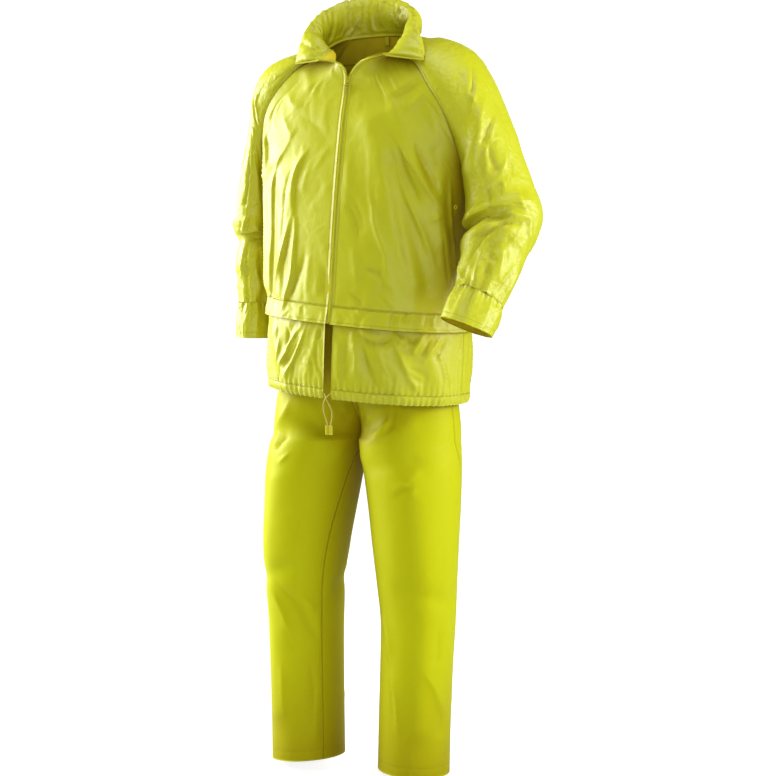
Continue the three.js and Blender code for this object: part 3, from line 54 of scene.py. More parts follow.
# Camera: in front of the suit and to the wearer's left, a little above its waist, looking slightly down.
VIEW_TURN = math.radians(30)
VIEW_DISTANCE = 4.5
VIEW_ASIDE = 0.044
VIEW_HEIGHT = 1.15
VIEW_DOWN = math.radians(4.6)
FRAME_PIXELS = 776
FOCAL_PIXELS = 2217
SENSOR_MM = 36
toward_camera = np.array([math.sin(VIEW_TURN), -math.cos(VIEW_TURN), 0])
image_right = np.array([math.cos(VIEW_TURN), math.sin(VIEW_TURN), 0])
upward = np.array([0, 0, 1])
camera = bpy.data.objects.new("camera", bpy.data.cameras.new("camera"))
bpy.context.scene.collection.objects.link(camera)
view_level = VIEW_HEIGHT - HOLD_HEIGHT
camera.location = toward_camera * VIEW_DISTANCE + image_right * VIEW_ASIDE + upward * view_level
camera.rotation_euler = (math.pi / 2 - VIEW_DOWN, 0, VIEW_TURN)
camera.data.sensor_width = SENSOR_MM
camera.data.lens = SENSOR_MM * FOCAL_PIXELS / FRAME_PIXELS
bpy.context.scene.camera = camera

# Studio: a pale floor that curves up into a pale wall, a big soft lamp on either side of the suit, a weak
# one in front and one overhead. The paper and the surround look white but give the suit little light.
STUDIO_WHITE = (0.55, 0.55, 0.55, 1)
PAPER_ROUGH = 0.9
PAPER_GLOW = 0.86
FLOOR_DROP = 0.012
FLOOR_FRONT = 5.0
FLOOR_BACK = 3.2
FLOOR_BEND = 1.6
WALL_HIGH = 5.0
STUDIO_WIDE = 14.0
SURROUND = 0.17
SURROUND_WARM = (1, 0.8, 0.4, 1)
AIM_HEIGHT = -0.25
LAMPS = {
    "left": (-2.35, -1.0, 0.4, 1.6, 128),
    "right": (2.5, 0.5, 0.3, 1.4, 58),
    "front": (0.1, 3.4, 0.1, 1.6, 36),
    "top": (0.0, 0.6, 2.6, 2.0, 36),
}  # aside, toward the camera, up, size, watts


def finish(name, colour, roughness):
    """A material of one colour and roughness, with its shader, for more nodes to be added to."""
    material = bpy.data.materials.new(name)
    material.use_nodes = True
    shader = material.node_tree.nodes["Principled BSDF"]
    shader.inputs["Base Color"].default_value = colour
    shader.inputs["Roughness"].default_value = roughness
    return material, shader


paper, paper_shader = finish("studio_paper", STUDIO_WHITE, PAPER_ROUGH)
paper_shader.inputs["Emission Color"].default_value = (1, 1, 1, 1)
paper_seen = paper.node_tree.nodes.new("ShaderNodeLightPath")
paper_glow = paper.node_tree.nodes.new("ShaderNodeMath")
paper_glow.operation = "MULTIPLY"
paper_glow.inputs[1].default_value = PAPER_GLOW
paper.node_tree.links.new(paper_seen.outputs["Is Camera Ray"], paper_glow.inputs[0])
paper.node_tree.links.new(paper_glow.outputs["Value"], paper_shader.inputs["Emission Strength"])
floor_height = cad_box[0][2] - FLOOR_DROP
bend_angles = np.linspace(0, math.pi / 2, 24)
bend = [(FLOOR_BACK + FLOOR_BEND * math.sin(a), FLOOR_BEND * (1 - math.cos(a))) for a in bend_angles]
profile = [(-FLOOR_FRONT, 0), *bend, (FLOOR_BACK + FLOOR_BEND, WALL_HIGH)]
studio_points = []
for away, up in profile:
    for aside in (-STUDIO_WIDE / 2, STUDIO_WIDE / 2):
        studio_points.append(image_right * aside - toward_camera * away + upward * (floor_height + up))
studio_faces = [(2 * i, 2 * i + 1, 2 * i + 3, 2 * i + 2) for i in range(len(profile) - 1)]
studio_mesh = bpy.data.meshes.new("studio")
studio_mesh.from_pydata([tuple(p) for p in studio_points], [], studio_faces)
studio_mesh.polygons.foreach_set("use_smooth", [True] * len(studio_faces))
studio_mesh.materials.append(paper)
studio = bpy.data.objects.new("studio", studio_mesh)
bpy.context.scene.collection.objects.link(studio)

for lamp_name, (aside, near, up, size, watts) in LAMPS.items():
    lamp = bpy.data.objects.new(lamp_name + "_lamp", bpy.data.lights.new(lamp_name + "_lamp", "AREA"))
    lamp.data.shape = "DISK"
    lamp.data.size = size
    lamp.data.energy = watts
    place = image_right * aside + toward_camera * near + upward * (up + VIEW_HEIGHT - HOLD_HEIGHT)
    toward = upward * AIM_HEIGHT - place
    lamp.location = place
    lamp.rotation_euler = (
        math.atan2(math.hypot(toward[0], toward[1]), -toward[2]),
        0,
        math.atan2(toward[1], toward[0]) - math.pi / 2,
    )
    bpy.context.scene.collection.objects.link(lamp)

world = bpy.data.worlds.new("surround")
world.use_nodes = True
surround_tint = world.node_tree.nodes.new("ShaderNodeMix")
surround_tint.data_type = "RGBA"
surround_tint.inputs["A"].default_value = SURROUND_WARM
surround_tint.inputs["B"].default_value = (1, 1, 1, 1)
surround_seen = world.node_tree.nodes.new("ShaderNodeLightPath")
surround_light = world.node_tree.nodes.new("ShaderNodeMapRange")
surround_light.inputs["To Min"].default_value = SURROUND
surround_light.inputs["To Max"].default_value = 1
surround_shader = world.node_tree.nodes["Background"]
world.node_tree.links.new(surround_seen.outputs["Is Camera Ray"], surround_light.inputs["Value"])
world.node_tree.links.new(surround_seen.outputs["Is Camera Ray"], surround_tint.inputs["Factor"])
world.node_tree.links.new(surround_tint.outputs["Result"], surround_shader.inputs["Color"])
world.node_tree.links.new(surround_light.outputs["Result"], surround_shader.inputs["Strength"])
bpy.context.scene.world = world
bpy.context.scene.view_settings.view_transform = "Standard"


# Draw cord: a limp braided cotton cord that runs in the hem channel. Both ends leave it beside the zip,
# cross once, and hang into one moulded cord end.
CORD_ACROSS = 0.0024
CORD_SIDES = 12
CORD_STEP = 0.0012
CORD_COLOUR = (0.68, 0.56, 0.13, 1)
CORD_ROUGH = 0.85
CORD_POINTS = 400
CORD_RIGHT = [
    (-0.0045, -0.1583, 0.788),
    (-0.0029, -0.1586, 0.7879),
    (-0.0006, -0.161, 0.786),
    (0.0022, -0.1632, 0.7823),
    (0.0052, -0.1643, 0.7772),
    (0.0089, -0.1646, 0.771),
    (0.0126, -0.1644, 0.7648),
    (0.0158, -0.1642, 0.7584),
    (0.0176, -0.164, 0.7516),
    (0.0179, -0.164, 0.7448),
    (0.017, -0.164, 0.738),
    (0.0156, -0.164, 0.7316),
    (0.015, -0.164, 0.7264),
]
CORD_LEFT = [
    (0.0125, -0.1582, 0.7873),
    (0.011, -0.1587, 0.7872),
    (0.0092, -0.1626, 0.7852),
    (0.007, -0.1656, 0.782),
    (0.0044, -0.1678, 0.7776),
    (0.002, -0.1684, 0.7722),
    (0.0003, -0.1674, 0.7656),
    (-0.0004, -0.166, 0.7586),
    (0, -0.165, 0.7516),
    (0.0016, -0.1644, 0.7448),
    (0.004, -0.164, 0.7382),
    (0.0062, -0.164, 0.732),
    (0.007, -0.164, 0.7264),
]


def curve_through(knots, values):
    """A smooth curve through values, or through points, at rising knots."""
    knots = np.asarray(knots, float)
    values = np.asarray(values, float)
    gaps = np.diff(knots)[:, None] if values.ndim == 2 else np.diff(knots)
    slopes = np.empty_like(values)
    slopes[1:-1] = (values[2:] - values[:-2]) / (gaps[1:] + gaps[:-1])
    slopes[0] = (values[1] - values[0]) / gaps[0]
    slopes[-1] = (values[-1] - values[-2]) / gaps[-1]

    def at(where):
        where = np.asarray(where, float)
        i = np.clip(np.searchsorted(knots, where, side="right") - 1, 0, len(knots) - 2)
        gap = knots[i + 1] - knots[i]
        t = np.clip((where - knots[i]) / gap, 0, 1)
        if values.ndim == 2:
            gap, t = gap[..., None], t[..., None]
        first = (2 * t**3 - 3 * t**2 + 1) * values[i] + (t**3 - 2 * t**2 + t) * gap * slopes[i]
        return first + (3 * t**2 - 2 * t**3) * values[i + 1] + (t**3 - t**2) * gap * slopes[i + 1]

    return at


def unit(vectors):
    return vectors / np.maximum(np.linalg.norm(vectors, axis=-1, keepdims=True), 1e-12)


def travelled(line):
    """How far along a line each of its points lies."""
    return np.concatenate([[0], np.cumsum(np.linalg.norm(np.diff(line, axis=0), axis=1))])


def mesh_piece(name, points, faces, materials, face_materials=None, tint=None):
    """A smooth-shaded object of quads, lowered to the part's own origin, riding on the suit."""
    points = np.asarray(points, float).reshape(-1, 3) - [0, 0, HOLD_HEIGHT]
    faces = np.asarray(faces, np.int32)
    mesh = bpy.data.meshes.new(name)
    mesh.vertices.add(len(points))
    mesh.vertices.foreach_set("co", points.astype(np.float32).ravel())
    mesh.loops.add(faces.size)
    mesh.loops.foreach_set("vertex_index", faces.ravel())
    mesh.polygons.add(len(faces))
    mesh.polygons.foreach_set("loop_start", np.arange(0, faces.size, faces.shape[1], dtype=np.int32))
    mesh.polygons.foreach_set("use_smooth", np.ones(len(faces), bool))
    for material in materials:
        mesh.materials.append(material)
    if face_materials is not None:
        mesh.polygons.foreach_set("material_index", np.asarray(face_materials, np.int32))
    mesh.update(calc_edges=True)
    # tint: the share of painted shade in the cloth's hollows, kept as a point attribute
    if tint is not None:
        layer = mesh.attributes.new("painted_hollow_shade", "FLOAT", "POINT")
        layer.data.foreach_set("value", np.asarray(tint, np.float32).ravel())
    piece = bpy.data.objects.new(name, mesh)
    bpy.context.scene.collection.objects.link(piece)
    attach(piece, "suit")
    return piece


def grid_faces(rows, columns, start=0, closed=False, flipped=False):
    """Quads of a grid of points that are numbered row by row. Closed joins the last column to the first."""
    i, j = np.meshgrid(np.arange(rows - 1), np.arange(columns if closed else columns - 1), indexing="ij")
    i, j = i.ravel(), j.ravel()
    beside = (j + 1) % columns
    here, above = i * columns, (i + 1) * columns
    quads = np.stack([here + j, here + beside, above + beside, above + j], 1)
    return start + (quads[:, ::-1] if flipped else quads)


def tube(points, across, sides):
    """Points of a round tube along a line of points, its rings kept from twisting."""
    run = unit(np.gradient(points, axis=0))
    side = unit(np.cross(run[0], [0, 1, 0.3]))
    rings = []
    angles = np.linspace(0, 2 * math.pi, sides, endpoint=False)
    for point, ahead in zip(points, run):
        side = unit(side - ahead * np.dot(side, ahead))
        other = np.cross(ahead, side)
        rings.append(point + across / 2 * (np.cos(angles)[:, None] * side + np.sin(angles)[:, None] * other))
    return np.array(rings)


def woven(material, shader, scale, distortion, strength, depth):
    """Adds the fine ribs of a braid or a weave to a material, as a bump."""
    nodes, links = material.node_tree.nodes, material.node_tree.links
    ribs = nodes.new("ShaderNodeTexWave")
    ribs.inputs["Scale"].default_value = scale
    ribs.inputs["Distortion"].default_value = distortion
    bump = nodes.new("ShaderNodeBump")
    bump.inputs["Strength"].default_value = strength
    bump.inputs["Distance"].default_value = depth
    links.new(ribs.outputs["Fac"], bump.inputs["Height"])
    links.new(bump.outputs["Normal"], shader.inputs["Normal"])


cord_material, cord_shader = finish("cord_cotton", CORD_COLOUR, CORD_ROUGH)
woven(cord_material, cord_shader, scale=420, distortion=1.5, strength=0.5, depth=0.0003)

for cord_name, route in (("hem_cord_right", CORD_RIGHT), ("hem_cord_left", CORD_LEFT)):
    line = curve_through(range(len(route)), route)(np.linspace(0, len(route) - 1, CORD_POINTS))
    travel = travelled(line)
    steps = int(travel[-1] / CORD_STEP)
    even = np.array([np.interp(np.linspace(0, travel[-1], steps), travel, line[:, k]) for k in range(3)]).T
    rings = tube(even, CORD_ACROSS, CORD_SIDES)
    faces = grid_faces(steps, CORD_SIDES, closed=True)
    cord = mesh_piece(cord_name + "_braid", rings, faces, [cord_material])
    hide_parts(cord_name)


# Cord end: two moulded barrels side by side, joined by a web. The cord's ends are knotted inside them. It
# keeps its own solid and takes a glossy plastic. It slides on the cord, which is cloth, so nothing turns.
CORD_END_COLOUR = (0.62, 0.58, 0.02, 1)
CORD_END_ROUGH = 0.32
moulded, _ = finish("moulded_plastic", CORD_END_COLOUR, CORD_END_ROUGH)
cord_end = bpy.data.objects["cord_end"]
cord_end.data.materials.clear()
cord_end.data.materials.append(moulded)


# Cloth: smooth nylon with a waterproof coat, lemon yellow. It is soft and thin and shines in broad pale
# patches. Its hollows are painted darker and warmer, and so are places near other cloth: painted shade.
NYLON_LIT = (0.57, 0.61, 0.004, 1)
# Painted shade: the colour that the cloth's hollows take.
NYLON_PAINTED_HOLLOW_SHADE = (0.48, 0.41, 0.002, 1)
# The inside's colour, warmer and brighter than the outside: painted light coming through the cloth.
NYLON_INSIDE_WITH_PAINTED_GLOW = (0.76, 0.62, 0.02, 1)
# Painted shade: the colour that cloth takes where other cloth is near.
NYLON_PAINTED_NEAR_SHADE = (0.30, 0.22, 0.001, 1)
PAINTED_SHADE_REACH = 0.3  # metres within which other cloth paints shade, darker and warmer, on this cloth
# How open a place is when it takes the painted shade whole. Below nought, none of the cloth takes it whole.
PAINTED_SHADE_FULL = 0.25
OPEN_FULL = -0.3
INSIDE_FULL = -1.5  # inside takes little painted shade, as light comes through the cloth
COAT_TINT = (1, 1, 1, 1)
HANGING_TINT = (1, 0.97, 0.3, 1)


def crinkle_group():
    """Fine crumpling of thin coated nylon, as a height for a Bump node."""
    group = bpy.data.node_groups.new("nylon_crinkle", "ShaderNodeTree")
    group.interface.new_socket("Fineness", in_out="INPUT", socket_type="NodeSocketFloat").default_value = 1
    group.interface.new_socket("Height", in_out="OUTPUT", socket_type="NodeSocketFloat")
    nodes, links = group.nodes, group.links
    given, made = nodes.new("NodeGroupInput"), nodes.new("NodeGroupOutput")
    place = nodes.new("ShaderNodeTexCoord")
    scale = nodes.new("ShaderNodeVectorMath")
    scale.operation = "SCALE"
    links.new(place.outputs["Object"], scale.inputs[0])
    links.new(given.outputs["Fineness"], scale.inputs["Scale"])
    broad = nodes.new("ShaderNodeTexNoise")
    broad.inputs["Scale"].default_value = 26
    broad.inputs["Detail"].default_value = 4
    broad.inputs["Distortion"].default_value = 1.2
    creased = nodes.new("ShaderNodeTexVoronoi")
    creased.feature = "DISTANCE_TO_EDGE"
    creased.inputs["Scale"].default_value = 34
    links.new(scale.outputs["Vector"], broad.inputs["Vector"])
    shift = nodes.new("ShaderNodeVectorMath")
    shift.operation = "MULTIPLY_ADD"
    shift.inputs[1].default_value = (0.02, 0.02, 0.02)
    links.new(broad.outputs["Color"], shift.inputs[0])
    links.new(scale.outputs["Vector"], shift.inputs[2])
    links.new(shift.outputs["Vector"], creased.inputs["Vector"])
    soften = nodes.new("ShaderNodeMapRange")
    soften.inputs["From Max"].default_value = 0.4
    soften.interpolation_type = "SMOOTHSTEP"
    links.new(creased.outputs["Distance"], soften.inputs["Value"])
    total = nodes.new("ShaderNodeMath")
    total.operation = "MULTIPLY_ADD"
    total.inputs[1].default_value = 0.45
    links.new(soften.outputs["Result"], total.inputs[0])
    links.new(broad.outputs["Fac"], total.inputs[2])
    links.new(total.outputs["Value"], made.inputs["Height"])
    return group


crinkles = crinkle_group()


def nylon(name, lit, painted_hollow_shade, fineness, relief, roughness, shine, tint=COAT_TINT, full=PAINTED_SHADE_FULL):
    """Coated nylon: lit colour, painted shade in hollows and near cloth, fine relief and shine."""
    material, shader = finish(name, lit, roughness)
    nodes, links = material.node_tree.nodes, material.node_tree.links
    shader.inputs["Specular IOR Level"].default_value = shine
    shader.inputs["Specular Tint"].default_value = tint
    # Painted shade: the hollows' share mixes in the darker, warmer colour.
    shade = nodes.new("ShaderNodeAttribute")
    shade.attribute_name = "painted_hollow_shade"
    blend = nodes.new("ShaderNodeMix")
    blend.data_type = "RGBA"
    blend.inputs["A"].default_value = lit
    blend.inputs["B"].default_value = painted_hollow_shade
    links.new(shade.outputs["Fac"], blend.inputs["Factor"])
    # Painted shade: an ambient occlusion node darkens and warms the colour where other cloth is near.
    near = nodes.new("ShaderNodeAmbientOcclusion")
    near.samples = 8
    near.inputs["Distance"].default_value = PAINTED_SHADE_REACH
    painted_shade_share = nodes.new("ShaderNodeMapRange")
    painted_shade_share.inputs["From Min"].default_value = 1
    painted_shade_share.inputs["From Max"].default_value = full
    links.new(near.outputs["AO"], painted_shade_share.inputs["Value"])
    shaded = nodes.new("ShaderNodeMix")
    shaded.data_type = "RGBA"
    shaded.inputs["B"].default_value = NYLON_PAINTED_NEAR_SHADE
    links.new(painted_shade_share.outputs["Result"], shaded.inputs["Factor"])
    links.new(blend.outputs["Result"], shaded.inputs["A"])
    links.new(shaded.outputs["Result"], shader.inputs["Base Color"])
    fine = nodes.new("ShaderNodeGroup")
    fine.node_tree = crinkles
    fine.inputs["Fineness"].default_value = fineness
    bump = nodes.new("ShaderNodeBump")
    bump.inputs["Strength"].default_value = 1
    bump.inputs["Distance"].default_value = relief
    links.new(fine.outputs["Height"], bump.inputs["Height"])
    links.new(bump.outputs["Normal"], shader.inputs["Normal"])
    return material


smooth_nylon = nylon(
    "nylon_smooth", NYLON_LIT, NYLON_PAINTED_HOLLOW_SHADE, fineness=1.0, relief=0.0006, roughness=0.5, shine=0.5
)
crumpled_nylon = nylon(
    "nylon_crumpled", NYLON_LIT, NYLON_PAINTED_HOLLOW_SHADE, fineness=2.0, relief=0.0008, roughness=0.48, shine=0.62,
    full=OPEN_FULL,
)
hanging_nylon = nylon(
    "nylon_hanging", NYLON_LIT, NYLON_PAINTED_HOLLOW_SHADE, fineness=0.8, relief=0.0003, roughness=0.55, shine=0.22,
    tint=HANGING_TINT,
)
# The inside: its colour holds painted light coming through the cloth.
inside_nylon = nylon(
    "nylon_inside", NYLON_INSIDE_WITH_PAINTED_GLOW, NYLON_INSIDE_WITH_PAINTED_GLOW, fineness=1.0, relief=0.0006, roughness=0.55, shine=0.2,
    full=INSIDE_FULL,
)

CLOTH_WALL = 0.0009
# How deep a trough lies when it takes the painted shade whole.
HOLLOW_DEEP = 0.006
outer_faces = {}


def shell(name, grid, height, outside, closed=False, wall=CLOTH_WALL, material=smooth_nylon):
    """A thin closed sheet on a grid of points: height moves them out, and outside says which way out is."""
    rows, columns = grid.shape[:2]

    def facing(points):
        if closed:
            around = np.roll(points, -1, 1) - np.roll(points, 1, 1)
        else:
            around = np.gradient(points, axis=1)
        normals = unit(np.cross(around, np.gradient(points, axis=0)))
        return normals * np.where(np.sum(normals * outside, -1, keepdims=True).mean() < 0, -1, 1)

    normals = facing(grid)
    outer = grid + normals * height[..., None]
    inner = outer - facing(outer) * wall
    as_laid = unit(np.cross(np.gradient(grid, axis=1), np.gradient(grid, axis=0)))
    flipped = bool(np.sum(as_laid * normals, -1).mean() < 0)
    count = rows * columns
    faces = [
        grid_faces(rows, columns, 0, closed, flipped),
        grid_faces(rows, columns, count, closed, not flipped),
    ]
    kinds = [np.zeros(len(faces[0]), int), np.ones(len(faces[1]), int)]
    ids = np.arange(count).reshape(rows, columns)
    edges = [ids[0], ids[-1]] if closed else [ids[0], ids[-1], ids[:, 0], ids[:, -1]]
    for number, edge in enumerate(edges):
        ahead = np.roll(edge, -1) if closed else edge[1:]
        here = edge if closed else edge[:-1]
        rim = np.stack([here, ahead, ahead + count, here + count], 1)
        turned = flipped if number in (1, 2) else not flipped
        faces.append(rim if turned else rim[:, ::-1])
        kinds.append(np.zeros(len(rim), int))
    # Painted shade: the further a place lies below its blurred surroundings, the more hollow colour it
    # takes.
    blurred = height - blur(height, 5)
    painted_hollow_shade = np.clip(-blurred / HOLLOW_DEEP, 0, 1)
    tint = np.concatenate([painted_hollow_shade.ravel(), painted_hollow_shade.ravel()])
    points = np.concatenate([outer.reshape(-1, 3), inner.reshape(-1, 3)])
    faces, kinds = np.concatenate(faces), np.concatenate(kinds)
    outer_faces[name] = (outer, facing(outer))
    return mesh_piece(name, points, faces, [material, inside_nylon], kinds, tint=tint)


def blur(values, times):
    for _ in range(times):
        values = (np.roll(values, 1, 0) + np.roll(values, -1, 0) + 2 * values) / 4
        values = (np.roll(values, 1, 1) + np.roll(values, -1, 1) + 2 * values) / 4
    return values


def ease(value, low, high):
    t = np.clip((value - low) / (high - low), 0, 1)
    return t * t * (3 - 2 * t)


def run_distance(u, v, ends):
    """How far each place is from a straight run."""
    u0, v0, u1, v1 = ends
    du, dv = u1 - u0, v1 - v0
    near = np.clip(((u - u0) * du + (v - v0) * dv) / (du * du + dv * dv), 0, 1)
    return np.hypot(u - u0 - near * du, v - v0 - near * dv)


def folded(u, v, table, scale):
    """Listed folds. Each row gives its steep side (1, -1, or 0 for neither), width, depth, and the
    places that its crest runs through. It starts thin, widens and fades out. A minus depth is a trough."""
    height = np.zeros(u.shape)
    for steep, width, depth, places in table:
        run = np.array(places) * scale
        line = curve_through(range(len(run)), run)(np.linspace(0, len(run) - 1, 12 * (len(run) - 1) + 1))
        reach = 6 * width
        near = (u > line[:, 0].min() - reach) & (u < line[:, 0].max() + reach)
        near &= (v > line[:, 1].min() - reach) & (v < line[:, 1].max() + reach)
        du, dv = u[near][:, None] - line[:, 0], v[near][:, None] - line[:, 1]
        nearest = (du**2 + dv**2).argmin(1)
        pick = np.arange(len(nearest))
        du, dv = du[pick, nearest], dv[pick, nearest]
        ahead = np.gradient(line, axis=0)[nearest]
        left = du * ahead[:, 1] - dv * ahead[:, 0] < 0
        share = nearest / (len(line) - 1)
        wide = width * (0.5 + 0.7 * share)
        if steep:
            wide = wide * np.where(left == (steep > 0), 0.55, 1.4)
        crest = np.exp(-1.35 * (np.sqrt((du**2 + dv**2) / wide**2 + 0.08) - 0.283))
        height[near] += depth * crest * ease(share, -0.12, 0.4) * ease(1 - share, -0.08, 0.3)
    return height


def scatter(u, v, seed, count, lean, spread, long, width, depth):
    """Many small unlike creases over a piece. u runs along the columns and v along the rows, in metres, and
    lean is the creases' usual angle from the u direction in degrees."""
    chance = np.random.default_rng(seed)
    height = np.zeros((len(v), len(u)))
    for _ in range(count):
        middle_u, middle_v = chance.uniform(u.min(), u.max()), chance.uniform(v.min(), v.max())
        angle = math.radians(lean + chance.normal(0, spread))
        half = chance.uniform(*long) / 2
        thin = chance.uniform(*width)
        deep = chance.uniform(*depth) * chance.choice([-1, 1])
        reach = half + 2.5 * thin
        columns = slice(*np.searchsorted(u, [middle_u - reach, middle_u + reach]))
        rows = slice(*np.searchsorted(v, [middle_v - reach, middle_v + reach]))
        du, dv = u[None, columns] - middle_u, v[rows, None] - middle_v
        along = du * math.cos(angle) + dv * math.sin(angle)
        away = -du * math.sin(angle) + dv * math.cos(angle) + chance.normal(0, 0.15) * along**2 / half
        ridge = np.exp(-((np.abs(away) / thin) ** 1.5)) - 0.5 * np.exp(-((away / thin - 1.6) ** 2))
        height[rows, columns] += deep * ridge * np.exp(-((along / half) ** 4) * 2)
    return height


def arc_sizes(grid):
    """Mean distances along a grid's columns and up its rows."""
    u = np.linalg.norm(np.diff(grid, axis=1), axis=2).mean(0)
    v = np.linalg.norm(np.diff(grid, axis=0), axis=2).mean(1)
    return np.concatenate([[0], np.cumsum(u)]), np.concatenate([[0], np.cumsum(v)])


def puckers(along, seed, pitch):
    """An uneven wave along a gathered seam, from -1 to 1, with about one wave to each pitch."""
    chance = np.random.default_rng(seed)
    knots = np.arange(along.min() - pitch, along.max() + 2 * pitch, pitch / 2)
    knots = knots + chance.uniform(-0.16, 0.16, len(knots)) * pitch
    values = chance.uniform(0.35, 1, len(knots)) * np.where(np.arange(len(knots)) % 2, 1, -1)
    return curve_through(knots, values)(along)


# Jacket body: two fronts up to the zip, a lower back and a shallow back yoke, flat-felled together. They
# follow one rounded section that changes with height, and meet the sleeves in long raglan seams.
BODY_NAMES = ("z", "right", "left", "front", "back")
BODY = [
    (0.762, 0.199, 0.219, 0.163, 0.15),
    (0.892, 0.203, 0.225, 0.156, 0.15),
    (0.967, 0.209, 0.224, 0.148, 0.148),
    (1.097, 0.217, 0.222, 0.134, 0.142),
    (1.215, 0.228, 0.228, 0.118, 0.136),
    (1.334, 0.232, 0.232, 0.097, 0.128),
    (1.39, 0.232, 0.232, 0.082, 0.118),
    (1.436, 0.216, 0.216, 0.072, 0.106),
    (1.466, 0.19, 0.19, 0.066, 0.096),
    (1.504, 0.15, 0.15, 0.06, 0.088),
]
BODY_SQUARE = 2.3
BODY_RADIUS = 0.185  # turns degrees round the body into metres of cloth
# The largest folds, as in the solids: from turn, from height, to turn, to height, width, depth.
BODY_FOLDS = [
    (14, 1.32, 48, 1.01, 0.024, 0.007),
    (26, 1.345, 66, 1.09, 0.022, 0.006),
    (30, 1.24, 56, 0.985, 0.02, -0.006),
    (60, 1.2, 74, 1, 0.02, 0.006),
    (-30, 1.18, -34, 0.985, 0.018, 0.006),
    (-44, 1.23, -48, 0.985, 0.016, -0.006),
    (-58, 1.29, -60, 1, 0.018, 0.006),
    (150, 1.29, 128, 1, 0.026, 0.007),
    (176, 1.24, 168, 0.99, 0.024, -0.006),
    (205, 1.3, 232, 1.01, 0.026, 0.007),
    (188, 1.13, 214, 0.985, 0.02, 0.005),
    (20, 0.905, 40, 0.8, 0.022, 0.006),
    (52, 0.9, 70, 0.79, 0.022, 0.006),
    (-26, 0.8, -44, 0.9, 0.018, 0.006),
    (-60, 0.79, -66, 0.9, 0.016, 0.005),
    (140, 0.9, 150, 0.79, 0.022, 0.006),
    (196, 0.905, 205, 0.79, 0.024, 0.006),
]
WAIST = 0.961
WAIST_DROP = 0.076
ARMPIT = 1.215
ZIP_X = 0.004
ZIP_EDGE = 0.0046
ZIP_OPEN = 1.396
# Each front's edge above the slider, and the neck seam, in lengths between the raglan seams.
EDGE_RIGHT = [
    (-0.0016, -0.0786, 1.412), (-0.005, -0.0796, 1.427), (-0.016, -0.0806, 1.439), (-0.036, -0.079, 1.447),
]
EDGE_LEFT = [(0.011, -0.079, 1.412), (0.024, -0.085, 1.426), (0.045, -0.091, 1.44), (0.066, -0.09, 1.448)]
NECK_FRONT_RIGHT = [(-0.06, -0.074, 1.45), (-0.052, -0.058, 1.463), (-0.056, -0.038, 1.468)]
NECK_BACK = [(-0.042, 0.086, 1.503), (0, 0.089, 1.504), (0.042, 0.086, 1.503)]
NECK_FRONT_LEFT = [(0.084, -0.046, 1.458), (0.085, -0.066, 1.456), (0.088, -0.084, 1.454)]
NECK_RIGHT = (3, 6)  # where the front and back raglan seams meet the neck seam
NECK_LEFT = (13, 10)

# The sleeves' ribs from the neck to the cuff's end: out, y and z of the front or under point, then of the
# top, half the depth, and how far the rib is turned level. The raglan seams join the body to them.
SLEEVE_RIGHT = [
    (0.086, -0.022, 1.46, 0.098, 0.022, 1.481, 0.05, 0),
    (0.128, -0.05, 1.437, 0.157, 0.024, 1.474, 0.08, 0),
    (0.172, -0.062, 1.392, 0.224, 0.022, 1.453, 0.088, 0),
    (0.205, -0.058, 1.345, 0.258, 0.023, 1.413, 0.084, 0),
    (0.221, -0.044, 1.295, 0.268, 0.027, 1.364, 0.077, 0),
    (0.228, -0.024, 1.248, 0.28, 0.031, 1.3, 0.07, 0),
    (0.231, 0.006, 1.215, 0.299, 0.036, 1.236, 0.065, 0),
    (0.238, 0.018, 1.155, 0.32, 0.043, 1.162, 0.063, 0),
    (0.242, 0.026, 1.094, 0.331, 0.047, 1.097, 0.063, 0),
    (0.241, 0.026, 1.03, 0.324, 0.043, 1.032, 0.06, 0),
    (0.242, 0.023, 0.985, 0.323, 0.037, 0.987, 0.054, 0),
    (0.245, 0.022, 0.955, 0.319, 0.033, 0.956, 0.048, 0),
    (0.241, 0.021, 0.936, 0.322, 0.033, 0.937, 0.052, 0),
    (0.24, 0.019, 0.911, 0.324, 0.032, 0.911, 0.056, 0),
    (0.24, 0.018, 0.882, 0.321, 0.031, 0.881, 0.057, 0),
]
SLEEVE_LEFT = [
    (0.088, -0.024, 1.46, 0.099, 0.024, 1.484, 0.05, 0),
    (0.14, -0.052, 1.438, 0.154, 0.032, 1.488, 0.08, 0),
    (0.178, -0.066, 1.392, 0.215, 0.03, 1.463, 0.09, 0),
    (0.208, -0.064, 1.345, 0.257, 0.024, 1.418, 0.088, 0),
    (0.224, -0.048, 1.292, 0.291, 0.018, 1.358, 0.082, 0),
    (0.229, -0.027, 1.247, 0.32, 0.013, 1.304, 0.076, 0),
    (0.231, 0, 1.215, 0.341, 0.008, 1.257, 0.071, 0),
    (0.24, -0.004, 1.158, 0.366, 0.006, 1.2, 0.072, 0),
    (0.244, -0.016, 1.1, 0.388, 0.002, 1.142, 0.072, 0),
    (0.252, -0.052, 1.052, 0.377, -0.038, 1.075, 0.064, 0),
    (0.257, -0.08, 1.018, 0.37, -0.072, 1.021, 0.056, 0.1),
    (0.262, -0.102, 0.993, 0.36, -0.104, 0.972, 0.046, 0.2),
    (0.257, -0.113, 0.978, 0.363, -0.116, 0.956, 0.05, 0.35),
    (0.255, -0.127, 0.958, 0.362, -0.131, 0.934, 0.053, 0.45),
    (0.255, -0.141, 0.938, 0.358, -0.147, 0.914, 0.053, 0.5),
]
SLEEVE_BACK = [
    (0.08, 0.072, 1.499),
    (0.12, 0.098, 1.465),
    (0.17, 0.108, 1.414),
    (0.205, 0.104, 1.352),
    (0.223, 0.083, 1.293),
    (0.229, 0.047, 1.245),
]
ARMPIT_RIB = 6
ELASTIC_RIB = 11
LAST_RIB = 14
RIB_LONG = 0.055
ROUND_LONG = 0.33
